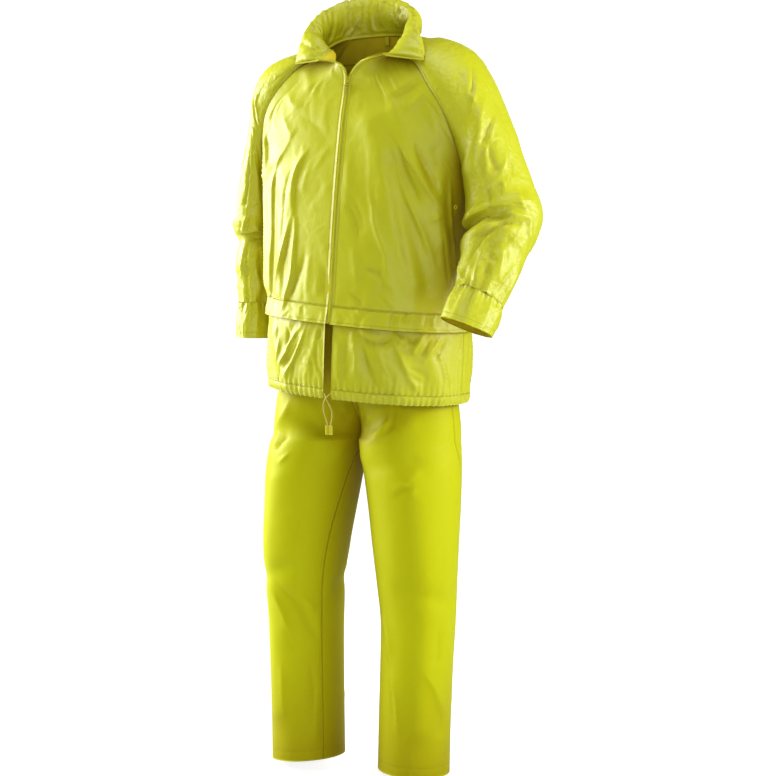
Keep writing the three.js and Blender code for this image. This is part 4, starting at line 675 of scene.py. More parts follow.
# The sleeves' largest folds, as in the solids: from rib, from round, to rib, to round, width, depth.
SLEEVE_FOLDS_RIGHT = [
    (7.9, 0.02, 8.3, 0.45, 0.013, -0.009),
    (7.2, 0.1, 7.7, 0.5, 0.016, 0.006),
    (8.7, 0.1, 9.3, 0.5, 0.016, 0.005),
    (4, 0.5, 7, 0.3, 0.016, 0.003),
    (8.1, 0.6, 7.8, 0.9, 0.015, -0.006),
    (5, 0.7, 7, 0.8, 0.018, 0.005),
]
SLEEVE_FOLDS_LEFT = [
    (8.1, 0.02, 8.4, 0.3, 0.014, -0.012),
    (7.7, 0.04, 7.6, 0.4, 0.018, 0.008),
    (8.7, 0.04, 8.8, 0.36, 0.016, 0.007),
    (3, 0.35, 6, 0.2, 0.02, 0.006),
    (4, 0.5, 7, 0.44, 0.018, -0.005),
    (9.4, 0.3, 10.6, 0.16, 0.013, -0.006),
    (6, 0.7, 8, 0.8, 0.02, 0.006),
]

body_table = np.array(BODY)
body_size = {name: curve_through(body_table[:, 0], body_table[:, k]) for k, name in enumerate(BODY_NAMES)}


def signed_power(value, power):
    return np.sign(value) * np.abs(value) ** power


def body_smooth(turn, z):
    turn, z = np.broadcast_arrays(np.asarray(turn, float), np.asarray(z, float))
    s, c = np.sin(np.radians(turn)), np.cos(np.radians(turn))
    across = np.where(s < 0, body_size["right"](z), body_size["left"](z))
    deep = np.where(c > 0, body_size["front"](z), body_size["back"](z))
    x = across * signed_power(s, 2 / BODY_SQUARE)
    y = -deep * signed_power(c, 2 / BODY_SQUARE)
    return np.stack([x, y, z], -1)


def body_normal(turn, z):
    around = body_smooth(turn + 1, z) - body_smooth(turn - 1, z)
    up = body_smooth(turn, z + 0.002) - body_smooth(turn, z - 0.002)
    return unit(np.cross(around, up))


def large_folds(u, v, folds):
    height = np.zeros(np.broadcast(u, v).shape)
    for u0, v0, u1, v1, width, depth in folds:
        away = run_distance(u, v, (u0, v0, u1, v1))
        height = height + depth * np.exp(-((away / width) ** 2))
    return height


def body(turn, z, out=0):
    """A point of the jacket's body, moved out from it."""
    turn = np.asarray(turn, float)
    z = np.asarray(z, float)
    metres = math.radians(1) * BODY_RADIUS
    round_turn = np.where(turn < -90, turn + 360, turn)
    folds = [(a * metres, b, c * metres, d, e, f) for a, b, c, d, e, f in BODY_FOLDS]
    fold = large_folds(round_turn * metres, z, folds)
    return body_smooth(turn, z) + body_normal(turn, z) * (fold + out)[..., None]


def body_turn(point):
    z = point[..., 2]
    across = np.where(point[..., 0] < 0, body_size["right"](z), body_size["left"](z))
    deep = np.where(point[..., 1] < 0, body_size["front"](z), body_size["back"](z))
    s = signed_power(point[..., 0] / across, BODY_SQUARE / 2)
    c = signed_power(-point[..., 1] / deep, BODY_SQUARE / 2)
    return np.degrees(np.arctan2(s, c))


def front_turn(x, z):
    across = np.where(np.asarray(x) < 0, body_size["right"](z), body_size["left"](z))
    return np.degrees(np.arcsin(signed_power(x / across, BODY_SQUARE / 2)))


def waist_line(turn):
    return WAIST - WAIST_DROP * body_smooth(turn, WAIST)[..., 0]


def ring(front, back, top, deep, forward, turned):
    """A point of an elliptic ring from front over top to back, deep along forward."""
    chord, half = (front + back) / 2, (front - back) / 2
    half_long = np.linalg.norm(half, axis=-1, keepdims=True)
    reach = np.maximum(deep[..., None], half_long * 1.002)
    closing = half_long / reach
    spread = math.pi - np.arcsin(np.minimum(closing, 1))
    facing = np.where(half_long > 1e-9, half / np.maximum(half_long, 1e-12), forward)
    sideways = unit(facing * closing + forward * (1 - closing))
    along = (top - chord) / (1 - np.cos(spread))
    share = turned[..., None]

    def place(angle):
        return top + along * (np.cos(angle) - 1) + sideways * reach * np.sin(angle)

    slip_front, slip_back = front - place(spread), back - place(-spread)
    slip = slip_front * np.maximum(0, 1 - 2 * share) + slip_back * np.maximum(0, 2 * share - 1)
    return place(spread * (1 - 2 * share)) + slip


class Sleeve:
    """One sleeve as a surface over the rib number and the share of the way round from its front seam."""

    def __init__(self, table, side, folds):
        rows = np.array(table)
        outward = np.array([side, 1, 1])
        low, ribs = rows[:, :3] * outward, np.arange(len(rows))
        behind = np.concatenate([np.array(SLEEVE_BACK) * outward, low[ARMPIT_RIB : ARMPIT_RIB + 1]])
        self.fronts = curve_through(ribs[: ARMPIT_RIB + 1], low[: ARMPIT_RIB + 1])
        self.backs = curve_through(ribs[: ARMPIT_RIB + 1], behind)
        self.under = curve_through(ribs[ARMPIT_RIB:], low[ARMPIT_RIB:])
        self.top = curve_through(ribs, rows[:, 3:6] * outward)
        self.deep = curve_through(ribs, rows[:, 6])
        self.level = curve_through(ribs, rows[:, 7])
        self.folds = [
            (a * RIB_LONG, b * ROUND_LONG, c * RIB_LONG, d * ROUND_LONG, e, f) for a, b, c, d, e, f in folds
        ]

    def seam(self, rib, above_armpit):
        above = (np.asarray(rib) <= ARMPIT_RIB)[..., None]
        below = self.under(np.maximum(rib, ARMPIT_RIB))
        return np.where(above, above_armpit(np.minimum(rib, ARMPIT_RIB)), below)

    def front(self, rib):
        return self.seam(rib, self.fronts)

    def back(self, rib):
        return self.seam(rib, self.backs)

    def middle(self, rib):
        return (self.front(rib) + self.back(rib)) / 4 + self.top(rib) / 2

    def point(self, rib, turned):
        rib, turned = np.broadcast_arrays(np.asarray(rib, float), np.asarray(turned, float))
        axis = unit(self.middle(np.minimum(rib + 0.1, LAST_RIB)) - self.middle(np.maximum(rib - 0.1, 0)))
        level = self.level(rib)[..., None]
        axis = unit(axis * (1 - level) + np.array([0, 0, -1]) * level)
        forward = unit(np.array([0, -1, 0]) + axis * axis[..., 1:2])
        place = ring(self.front(rib), self.back(rib), self.top(rib), self.deep(rib), forward, turned)
        fold = large_folds(rib * RIB_LONG, turned * ROUND_LONG, self.folds)
        fold = fold * np.where(rib < ARMPIT_RIB, ease(np.minimum(turned, 1 - turned), 0, 0.12), 1)
        return place + unit(place - self.middle(rib)) * fold[..., None]


sleeve_right = Sleeve(SLEEVE_RIGHT, -1, SLEEVE_FOLDS_RIGHT)
sleeve_left = Sleeve(SLEEVE_LEFT, 1, SLEEVE_FOLDS_LEFT)
neck_points = np.array(
    [
        *NECK_FRONT_RIGHT,
        *sleeve_right.point(0, np.arange(4) / 3),
        *NECK_BACK,
        *sleeve_left.point(0, np.arange(3, -1, -1) / 3),
        *NECK_FRONT_LEFT,
    ]
)
NECK_LAST = len(neck_points) - 1
neck = curve_through(range(NECK_LAST + 1), neck_points)

LOWER_ROWS = 8
HEAD_ROWS = 9
BODY_ROWS = LOWER_ROWS + HEAD_ROWS
SLIDER_ROW = LOWER_ROWS + 4
YOKE_ROWS = 2


def seam_place(side_turn, i, raglan):
    low = np.minimum(i, LOWER_ROWS)
    z_low = waist_line(side_turn) + (ARMPIT - waist_line(side_turn)) * low / LOWER_ROWS
    slip = (raglan(ARMPIT_RIB) - body(side_turn, ARMPIT)) * ease(low / LOWER_ROWS, 0.4, 1)[..., None]
    point_low = body(side_turn, z_low) + slip
    rib = ARMPIT_RIB * (1 - (np.maximum(i, LOWER_ROWS) - LOWER_ROWS) / HEAD_ROWS)
    point_high = raglan(rib)
    below = i < LOWER_ROWS
    point = np.where(below[..., None], point_low, point_high)
    return np.where(below, side_turn, body_turn(point_high)), point[..., 2] * ~below + z_low * below, point


def edge_place(side, opened, corner, i):
    x = ZIP_X + side * ZIP_EDGE
    low = np.minimum(i, LOWER_ROWS) / LOWER_ROWS
    mid = np.clip((i - LOWER_ROWS) / (SLIDER_ROW - LOWER_ROWS), 0, 1)
    z_to_armpit = waist_line(0) + (ARMPIT - waist_line(0)) * low
    z_low = np.where(i <= LOWER_ROWS, z_to_armpit, ARMPIT + (ZIP_OPEN - ARMPIT) * mid)
    turn_low = front_turn(x, z_low)
    start = body(front_turn(x, ZIP_OPEN), ZIP_OPEN)
    way = curve_through(range(len(opened) + 2), np.array([start, *opened, corner]))
    t = np.clip((i - SLIDER_ROW) / (BODY_ROWS - SLIDER_ROW), 0, 1)
    point_high = way(t * (len(opened) + 1))
    below = i <= SLIDER_ROW
    point = np.where(below[..., None], body(turn_low, z_low), point_high)
    turn = np.where(below, turn_low, body_turn(point_high))
    return turn, np.where(below, z_low, point_high[..., 2]), point


def row_point(start, end, t, i):
    turn = start[0] + (end[0] - start[0]) * t
    low = waist_line(turn) + (ARMPIT - waist_line(turn)) * i / LOWER_ROWS
    z = np.where(i < LOWER_ROWS, low, start[1] + (end[1] - start[1]) * t)
    start_slip, end_slip = start[2] - body(start[0], start[1]), end[2] - body(end[0], end[1])
    first, last = (1 - ease(t, 0, 0.7)) * (1 - t), ease(t, 0.3, 1) * t
    return body(turn, z) + start_slip * first[..., None] + end_slip * last[..., None], turn, z


def panel_points(ends_of, neck_at, from_row, i, t):
    """A panel from its two side places, easing to the neck seam above a row."""
    i, t = np.meshgrid(i, t, indexing="ij")
    top = ends_of(np.full_like(i, BODY_ROWS))
    slip = neck(neck_at(t)) - row_point(top[0], top[1], t, np.full_like(i, BODY_ROWS))[0]
    ends = ends_of(i)
    point, turn, z = row_point(ends[0], ends[1], t, i)
    return point + slip * ease(i, from_row, BODY_ROWS)[..., None], turn, z


def front_ends(side):
    opened = EDGE_RIGHT if side < 0 else EDGE_LEFT
    corner = neck_points[0] if side < 0 else neck_points[-1]
    sleeve = sleeve_right if side < 0 else sleeve_left
    return lambda i: (edge_place(side, opened, corner, i), seam_place(side * 90, i, sleeve.front))


def back_ends(i):
    left = seam_place(90, i, sleeve_left.back)
    turn, z, point = seam_place(-90, i, sleeve_right.back)
    return left, (turn + 360, z, point)


FRONT_COLUMNS = 84
BACK_COLUMNS = 150
front_rows = np.concatenate([
    np.linspace(0, LOWER_ROWS, 88)[:-1],
    np.linspace(LOWER_ROWS, SLIDER_ROW, 62)[:-1],
    np.linspace(SLIDER_ROW, BODY_ROWS, 40),
])
lower_back_rows = np.linspace(0, BODY_ROWS - YOKE_ROWS, 170)
yoke_rows = np.linspace(BODY_ROWS - YOKE_ROWS, BODY_ROWS, 14)

# Folds over the fronts and the back, by turn and height.
FRONT_RIGHT_FOLDS = [
    (1, 0.011, 0.0056, [
        (-28.2, 1.289), (-32.7, 1.268), (-38.8, 1.244), (-45.6, 1.209), (-47.1, 1.170), (-48.2, 1.099),
        (-50.9, 1.045), (-52.0, 0.974), (-52.5, 0.9),
    ]),
    (1, 0.01, 0.006, [
        (-15.4, 1.269), (-18.6, 1.252), (-21.2, 1.235), (-23.4, 1.208), (-23.8, 1.169), (-24.1, 1.127),
    ]),
    (1, 0.007, 0.005, [
        (-23.0, 1.145), (-26.0, 1.118), (-30.2, 1.073), (-33.6, 1.037), (-37.5, 1.009), (-42.6, 0.972),
        (-44, 0.9),
    ]),
    (1, 0.008, 0.006, [
        (-23.0, 1.159), (-21.1, 1.118), (-21.9, 1.065), (-22.6, 1.029), (-25.3, 0.994), (-28.3, 0.969),
        (-31, 0.9),
    ]),
    (0, 0.007, -0.0045, [(-20.9, 1.249), (-28.3, 1.209), (-29.4, 1.170), (-32.1, 1.099), (-33.6, 1.055)]),
    (0, 0.006, -0.003, [(-24.9, 1.109), (-27.5, 1.073), (-30.2, 1.028), (-29.4, 0.976)]),
    (0, 0.009, -0.0045, [(-14.0, 1.074), (-16.2, 1.038), (-21.1, 1.002), (-25.3, 0.970)]),
    (0, 0.007, 0.0022, [(-13.2, 1.245), (-15.9, 1.208), (-17.4, 1.177)]),
    (0, 0.007, 0.0022, [(-10.6, 1.065), (-11.7, 1.021), (-12.1, 0.971)]),
    (0, 0.006, 0.0018, [(-5.7, 1.021), (-6.1, 0.972)]),
    (0, 0.006, -0.0028, [(-2.3, 1.047), (-1.6, 0.972)]),
    (0, 0.013, -0.006, [(-54.6, 1.299), (-52.9, 1.271), (-53.9, 1.239)]),
    (0, 0.012, 0.003, [(-37.6, 1.344), (-30.2, 1.310), (-25.6, 1.296)]),
    (0, 0.01, 0.003, [(-38.5, 1.386), (-32.1, 1.372), (-27.5, 1.360), (-21.2, 1.356)]),
    (0, 0.009, 0.003, [(-37.9, 1.438), (-26.7, 1.406), (-16.8, 1.389)]),
    (0, 0.012, -0.0022, [(-22.6, 1.339), (-10.3, 1.312), (-3.2, 1.268)]),
    (0, 0.009, 0.0040, [(-66, 1.30), (-70, 1.18), (-69, 1.06)]),
    (0, 0.008, -0.0040, [(-74, 1.26), (-78, 1.12), (-77, 1.00)]),
    (0, 0.008, 0.0035, [(-60, 1.14), (-62, 1.05), (-60, 0.97)]),
    (0, 0.008, 0.0030, [(-84, 1.18), (-84, 1.06), (-85, 0.97)]),
]
FRONT_LEFT_FOLDS = [
    (-1, 0.01, 0.0066, [
        (28.2, 1.267), (32.9, 1.215), (37.7, 1.177), (40.7, 1.161), (44.4, 1.141), (49.6, 1.114),
        (54.0, 1.087), (59.2, 1.058), (62.2, 1.033),
    ]),
    (-1, 0.009, 0.007, [
        (32.6, 1.282), (35.4, 1.258), (43.0, 1.227), (49.6, 1.197), (56.2, 1.173), (64.8, 1.147),
    ]),
    (0, 0.011, -0.0065, [(41.2, 1.281), (45.7, 1.250), (55.5, 1.204), (62.2, 1.176)]),
    (0, 0.006, -0.0045, [(30.9, 1.266), (35.5, 1.231), (42.5, 1.191), (47.7, 1.165)]),
    (-1, 0.009, 0.0042, [
        (14.7, 1.266), (16.5, 1.189), (19.2, 1.152), (20.6, 1.125), (24.4, 1.089), (28.1, 1.062),
        (29.5, 1.035), (32.1, 1.008), (34.0, 0.981),
    ]),
    (0, 0.012, -0.005, [(24.1, 1.236), (30.3, 1.178), (34.7, 1.116), (40.7, 1.062), (44.0, 1.003)]),
    (0, 0.005, -0.003, [(3.9, 1.165), (8.8, 1.142), (11.4, 1.116), (12.9, 1.080)]),
    (0, 0.006, -0.0026, [(8.4, 1.179), (13.2, 1.134), (15.1, 1.098)]),
    (0, 0.007, 0.0026, [(9.5, 1.080), (11.7, 1.044), (13.2, 1.003)]),
    (0, 0.008, -0.0034, [(16.6, 1.036), (22.1, 1.028), (28.8, 1.019)]),
    (0, 0.006, 0.003, [(16.2, 1.026), (22.5, 1.013), (27.7, 1.004)]),
    (0, 0.006, 0.003, [(26.2, 1.044), (29.2, 1.016), (32.1, 0.994)]),
    (0, 0.007, 0.003, [(55.9, 1.128), (59.6, 1.132), (63.3, 1.136)]),
    (0, 0.01, 0.0035, [(40.6, 1.413), (33.4, 1.397), (27.2, 1.385), (18.2, 1.373)]),
    (0, 0.01, 0.0028, [(43.9, 1.382), (37.6, 1.361), (33.7, 1.340)]),
    (0, 0.01, -0.002, [(42.1, 1.402), (31.2, 1.377), (23.5, 1.361)]),
    (0, 0.01, 0.0028, [(4.7, 1.263), (5.0, 1.198), (5.1, 1.140)]),
    (0, 0.005, -0.0026, [(9.1, 0.989), (12.8, 0.977), (16.6, 0.962)]),
    (0, 0.006, 0.0028, [(25.5, 0.990), (31.0, 0.974), (34.7, 0.958)]),
    (0, 0.009, 0.0040, [(70, 1.21), (74, 1.13), (80, 1.05)]),
    (0, 0.008, -0.0040, [(64, 1.12), (70, 1.05), (74, 0.98)]),
    (0, 0.008, 0.0030, [(78, 1.10), (81, 1.03), (83, 0.97)]),
]
BACK_FOLDS = [
    (0, 0.01, 0.004, [(110, 1.33), (140, 1.2)]),
    (0, 0.01, 0.004, [(104, 1.27), (128, 1.1)]),
    (0, 0.01, 0.004, [(250, 1.33), (220, 1.2)]),
    (0, 0.01, 0.004, [(256, 1.26), (232, 1.08)]),
    (0, 0.01, 0.0035, [(150, 1.18), (160, 1)]),
    (0, 0.013, 0.0035, [(176, 1.3), (182, 1.04)]),
    (0, 0.009, 0.0035, [(200, 1.16), (196, 0.99)]),
    (0, 0.008, 0.003, [(214, 1.1), (218, 0.98)]),
    (0, 0.008, 0.003, [(136, 1.08), (142, 0.98)]),
    (0, 0.009, 0.0035, [(120, 1.12), (118, 0.98)]),
    (0, 0.009, 0.0035, [(240, 1.1), (242, 0.98)]),
    (0, 0.01, 0.003, [(160, 1.4), (200, 1.39)]),
    (0, 0.01, 0.0025, [(146, 1.36), (214, 1.355)]),
]
SEAM_FADE = 0.012


def edge_weight(rows_long, columns_long, sides=(True, True, True, True), fade=SEAM_FADE):
    """Nought at the sewn edges (bottom, top, first and last column) and one a little way in from them."""
    v, u = np.meshgrid(rows_long, columns_long, indexing="ij")
    bottom, top, first, last = sides
    weight = np.ones_like(u)
    for used, away in ((bottom, v), (top, v.max() - v), (first, u), (last, u.max() - u)):
        if used:
            weight = weight * ease(away, -0.25 * fade, fade)
    return weight


ROLL_DEEP = 0.0007
ROLL_WIDE = 0.0017


def seam_roll(rows_long, columns_long, sides):
    """The cloth dips into a sewn edge."""
    v, u = np.meshgrid(rows_long, columns_long, indexing="ij")
    bottom, top, first, last = sides
    height = np.zeros_like(u)
    for used, away in ((bottom, v), (top, v.max() - v), (first, u), (last, u.max() - u)):
        if used:
            height = height - ROLL_DEEP * np.exp(-((away / ROLL_WIDE) ** 2))
    return height


WAIST_PUCKER_PITCH = 0.026
WAIST_PUCKER_DEEP = 0.0013
metres = math.radians(1) * BODY_RADIUS  # of cloth round the body to one degree of turn


def body_cloth(name, node, made, table, first_edge_sewn, seed, counts):
    points, turn, z = made
    columns_long, rows_long = arc_sizes(points)
    sides = (True, True, first_edge_sewn, True)
    above_waist = (False, *sides[1:])
    long_count, short_count = counts
    height = scatter(
        columns_long, rows_long, seed, long_count, lean=90, spread=24,
        long=(0.05, 0.13), width=(0.005, 0.010), depth=(0.0003, 0.0010),
    )
    height += scatter(
        columns_long, rows_long, seed + 1, short_count, lean=60, spread=60,
        long=(0.015, 0.045), width=(0.003, 0.006), depth=(0.0001, 0.0004),
    )
    v = rows_long[:, None]
    wave = puckers(columns_long, seed + 2, WAIST_PUCKER_PITCH)[None, :]
    height += WAIST_PUCKER_DEEP * wave * np.exp(-v / 0.02) * (1 - np.exp(-v / 0.004))
    height *= edge_weight(rows_long, columns_long, sides)
    height += seam_roll(rows_long, columns_long, above_waist)
    through_seam = edge_weight(rows_long, columns_long, above_waist)
    height += folded(turn * metres, z, table, (metres, 1)) * through_seam
    outside = np.stack([points[..., 0], points[..., 1], np.zeros_like(z)], -1)
    piece = shell(name, points, height, outside)
    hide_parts(node)


def right_neck(t):
    return NECK_RIGHT[0] * t


def left_neck(t):
    return NECK_LAST + (NECK_LEFT[0] - NECK_LAST) * t


def back_neck(t):
    return NECK_LEFT[1] + (NECK_RIGHT[1] - NECK_LEFT[1]) * t


front_columns = np.linspace(0, 1, FRONT_COLUMNS + 1)
for side, side_name, neck_at, table, seed in (
    (-1, "right", right_neck, FRONT_RIGHT_FOLDS, 11),
    (1, "left", left_neck, FRONT_LEFT_FOLDS, 21),
):
    made = panel_points(front_ends(side), neck_at, SLIDER_ROW, front_rows, front_columns)
    body_cloth("front_" + side_name, "jacket_front_" + side_name, made, table, False, seed,
               (34, 90))

ARMPIT_EASE = 1.2  # rows either side of the armpit over which the back runs smoothly into the raglan seams
ARMPIT_EASE_SIDES = 0.06
back_columns = np.linspace(0, 1, BACK_COLUMNS + 1)
points, turn, z = panel_points(back_ends, back_neck, SLIDER_ROW + 2, lower_back_rows, back_columns)
past = np.abs(lower_back_rows - LOWER_ROWS) < ARMPIT_EASE
first, last = np.flatnonzero(past)[[0, -1]]
first_row, last_row = lower_back_rows[first], lower_back_rows[last]
share = ((lower_back_rows[past] - first_row) / (last_row - first_row))[:, None, None]
span = last - first
start_slope, end_slope = (points[first] - points[first - 1]) * span, (points[last + 1] - points[last]) * span
bridge = (2 * share**3 - 3 * share**2 + 1) * points[first] + (share**3 - 2 * share**2 + share) * start_slope
bridge = bridge + (3 * share**2 - 2 * share**3) * points[last] + (share**3 - share**2) * end_slope
inner_part = ease(np.minimum(back_columns, 1 - back_columns), 0, ARMPIT_EASE_SIDES)[None, :, None]
points[past] = points[past] * (1 - inner_part) + bridge * inner_part
body_cloth("back_lower", "jacket_back_lower", (points, turn, z), BACK_FOLDS, True, 31,
           (44, 120))
made = panel_points(back_ends, back_neck, SLIDER_ROW + 2, yoke_rows, back_columns)
body_cloth("back_yoke", "jacket_back_yoke", made, [], True, 41, (4, 10))


# Sleeves: one piece each with its seam under the arm and its raglan head up to the neck. They crumple most
# at the elbow and above the wrist elastic. The cuff is the loose flounce past the elastic.
SLEEVE_COLUMNS = 112
SLEEVE_ROWS_TO_ARMPIT = 96
SLEEVE_ROWS_PAST = 104
# By rib and share of the way round.
CREASES_RIGHT = [
    (1, 0.008, -0.007, [(2.33, 0.343), (2.93, 0.313), (3.31, 0.276), (3.43, 0.185), (3.71, 0.070)]),
    (0, 0.006, 0.004, [(2.10, 0.168), (2.78, 0.153), (3.11, 0.135), (3.36, 0.070)]),
    (0, 0.005, -0.0046, [(7.96, 0.373), (7.96, 0.271), (7.94, 0.193), (8.01, 0.133), (7.99, 0.083)]),
    (0, 0.006, 0.004, [(7.79, 0.318), (7.71, 0.228), (7.76, 0.175), (7.69, 0.123), (7.74, 0.085)]),
    (0, 0.004, 0.003, [(7.76, 0.241), (7.41, 0.206), (7.09, 0.180)]),
    (0, 0.004, -0.0026, [(7.76, 0.206), (7.41, 0.175), (7.14, 0.148)]),
    (0, 0.004, 0.0028, [(7.49, 0.140), (7.74, 0.115), (7.94, 0.080)]),
    (0, 0.004, 0.0026, [(4.81, 0.281), (5.61, 0.353), (6.14, 0.306)]),
    (0, 0.005, -0.003, [(4.96, 0.173), (5.81, 0.193), (6.44, 0.206), (7.01, 0.223)]),
    (0, 0.005, 0.0034, [(4.78, 0.110), (5.66, 0.115), (6.34, 0.113), (7.09, 0.085)]),
    (0, 0.005, -0.0026, [(4.31, 0.078), (5.03, 0.050), (6.04, 0.088)]),
    (0, 0.005, 0.003, [(8.24, 0.228), (9.02, 0.256), (9.99, 0.308)]),
    (0, 0.005, -0.0028, [(8.19, 0.190), (8.87, 0.211), (9.79, 0.216)]),
    (0, 0.005, 0.0034, [(8.54, 0.148), (9.14, 0.140), (10.29, 0.098)]),
    (0, 0.006, -0.0034, [(8.31, 0.110), (8.84, 0.103), (9.82, 0.095)]),
    (0, 0.004, 0.0026, [(9.49, 0.190), (10.19, 0.183), (10.82, 0.160)]),
    (0, 0.004, 0.0022, [(6.46, 0.338), (7.04, 0.306), (7.66, 0.303)]),
    (0, 0.004, -0.0024, [(8.34, 0.291), (8.89, 0.316), (9.72, 0.351)]),
    (0, 0.007, 0.0034, [(7.2, 0.55), (8, 0.82)]),
    (0, 0.007, 0.0034, [(8.4, 0.6), (8.9, 0.9)]),
    (0, 0.008, 0.0034, [(5.4, 0.68), (7, 0.92)]),
    (0, 0.006, 0.003, [(9.4, 0.62), (10.2, 0.86)]),
]
CREASES_LEFT = [
    (-1, 0.009, -0.008, [(2.50, 0.419), (3.01, 0.376), (3.33, 0.333), (3.46, 0.291)]),
    (1, 0.006, 0.005, [(3.16, 0.393), (3.53, 0.336), (3.81, 0.278)]),
    (0, 0.012, 0.006, [(3.73, 0.393), (4.36, 0.306), (5.53, 0.256)]),
    (-1, 0.008, -0.0048, [(4.43, 0.388), (4.93, 0.321), (5.48, 0.276)]),
    (0, 0.006, 0.004, [(4.28, 0.451), (4.91, 0.358), (5.43, 0.328)]),
    (1, 0.009, -0.0046, [(5.53, 0.328), (6.16, 0.336), (6.56, 0.346)]),
    (0, 0.006, 0.0036, [(5.41, 0.316), (6.09, 0.306), (6.64, 0.286)]),
    (0, 0.007, -0.0038, [(5.86, 0.446), (6.36, 0.426), (6.79, 0.414)]),
    (0, 0.006, 0.0034, [(6.56, 0.351), (6.16, 0.404), (5.76, 0.441)]),
    (0, 0.004, 0.0034, [(6.01, 0.241), (6.36, 0.243), (7.11, 0.256)]),
    (0, 0.004, 0.0026, [(6.79, 0.348), (7.24, 0.351)]),
    (0, 0.007, -0.0042, [(6.91, 0.271), (7.31, 0.276), (8.24, 0.266)]),
    (0, 0.007, 0.0044, [(7.09, 0.236), (7.39, 0.198), (8.01, 0.135)]),
    (0, 0.005, 0.0034, [(7.01, 0.419), (7.71, 0.396), (8.29, 0.429)]),
    (0, 0.005, -0.0026, [(6.99, 0.446), (7.64, 0.414), (8.16, 0.444)]),
    (1, 0.009, 0.008, [(8.29, 0.444), (8.42, 0.371), (8.34, 0.306), (8.36, 0.243), (8.69, 0.226)]),
    (-1, 0.008, -0.0095, [
        (8.42, 0.454), (8.59, 0.376), (8.67, 0.313), (8.87, 0.288), (8.99, 0.243), (8.89, 0.185),
    ]),
    (0, 0.006, 0.0048, [(8.19, 0.441), (8.52, 0.469), (8.82, 0.519)]),
    (0, 0.008, -0.0055, [(9.02, 0.268), (9.44, 0.223), (10.02, 0.198)]),
    (-1, 0.008, 0.0055, [(9.19, 0.278), (9.62, 0.263), (10.19, 0.261), (10.84, 0.266)]),
    (0, 0.007, -0.0042, [(9.54, 0.313), (10.02, 0.321), (10.57, 0.321)]),
    (1, 0.008, 0.005, [(9.29, 0.373), (9.79, 0.388), (10.44, 0.401)]),
    (0, 0.008, -0.0055, [(9.69, 0.474), (10.22, 0.449), (10.59, 0.429), (11.02, 0.414)]),
    (0, 0.006, 0.0042, [(9.54, 0.531), (10.12, 0.519), (10.57, 0.509)]),
    (0, 0.005, -0.004, [(10.52, 0.253), (11.14, 0.291), (11.97, 0.331)]),
    (0, 0.005, 0.0034, [(9.37, 0.083), (10.24, 0.125), (11.07, 0.213)]),
    (0, 0.004, -0.003, [(10.79, 0.173), (11.09, 0.258), (11.37, 0.318)]),
    (0, 0.005, 0.003, [(8.79, 0.376), (8.94, 0.439), (9.22, 0.496)]),
    (0, 0.004, 0.0026, [(9.27, 0.388), (9.04, 0.401), (8.89, 0.421)]),
    (0, 0.008, 0.0036, [(7, 0.6), (8.2, 0.84)]),
    (0, 0.008, 0.0036, [(8.3, 0.56), (9.2, 0.86)]),
    (0, 0.008, 0.0034, [(5.2, 0.66), (7, 0.9)]),
    (0, 0.006, 0.003, [(9.5, 0.6), (10.3, 0.88)]),
]
GATHER_PITCH = 0.009
GATHER_REACH = 0.045
GATHER_DEEP = 0.0012
WIDE_GATHER_DEEP = 0.0032
sleeve_ribs = np.concatenate([
    np.linspace(0, ARMPIT_RIB, SLEEVE_ROWS_TO_ARMPIT)[:-1],
    np.linspace(ARMPIT_RIB, ELASTIC_RIB, SLEEVE_ROWS_PAST),
])
sleeve_round = np.linspace(0, 1, SLEEVE_COLUMNS + 1)
for sleeve, side_name, table, seed in (
    (sleeve_right, "right", CREASES_RIGHT, 51),
    (sleeve_left, "left", CREASES_LEFT, 61),
):
    rib, turned = np.meshgrid(sleeve_ribs, sleeve_round, indexing="ij")
    points = sleeve.point(rib, turned)
    columns_long, rows_long = arc_sizes(points)
    height = folded(rib * RIB_LONG, turned * ROUND_LONG, table, (RIB_LONG, ROUND_LONG))
    crumple = 0.35 + 0.65 * ease(rib, 5, 7.5)
    height += crumple * scatter(
        columns_long, rows_long, seed, 110, lean=20, spread=40,
        long=(0.03, 0.08), width=(0.003, 0.006), depth=(0.0005, 0.0016),
    )
    height += scatter(
        columns_long, rows_long, seed + 1, 300, lean=0, spread=70,
        long=(0.012, 0.035), width=(0.002, 0.004), depth=(0.0003, 0.0011),
    )
    to_elastic = rows_long.max() - rows_long[:, None]
    gather = puckers(columns_long, seed + 2, GATHER_PITCH)[None, :]
    wide_gather = puckers(columns_long, seed + 3, 3 * GATHER_PITCH)[None, :]
    height += GATHER_DEEP * gather * np.exp(-to_elastic / 0.01)
    height += WIDE_GATHER_DEEP * wide_gather * np.exp(-to_elastic / GATHER_REACH)
    sewn = (True, False, True, True)
    height = height * edge_weight(rows_long, columns_long, sewn, 0.01)
    height = height + seam_roll(rows_long, columns_long, sewn)
    outside = points - sleeve.middle(rib)
    piece = shell("sleeve_" + side_name + "_cloth", points, height, outside, material=crumpled_nylon)
    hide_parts("sleeve_" + side_name)

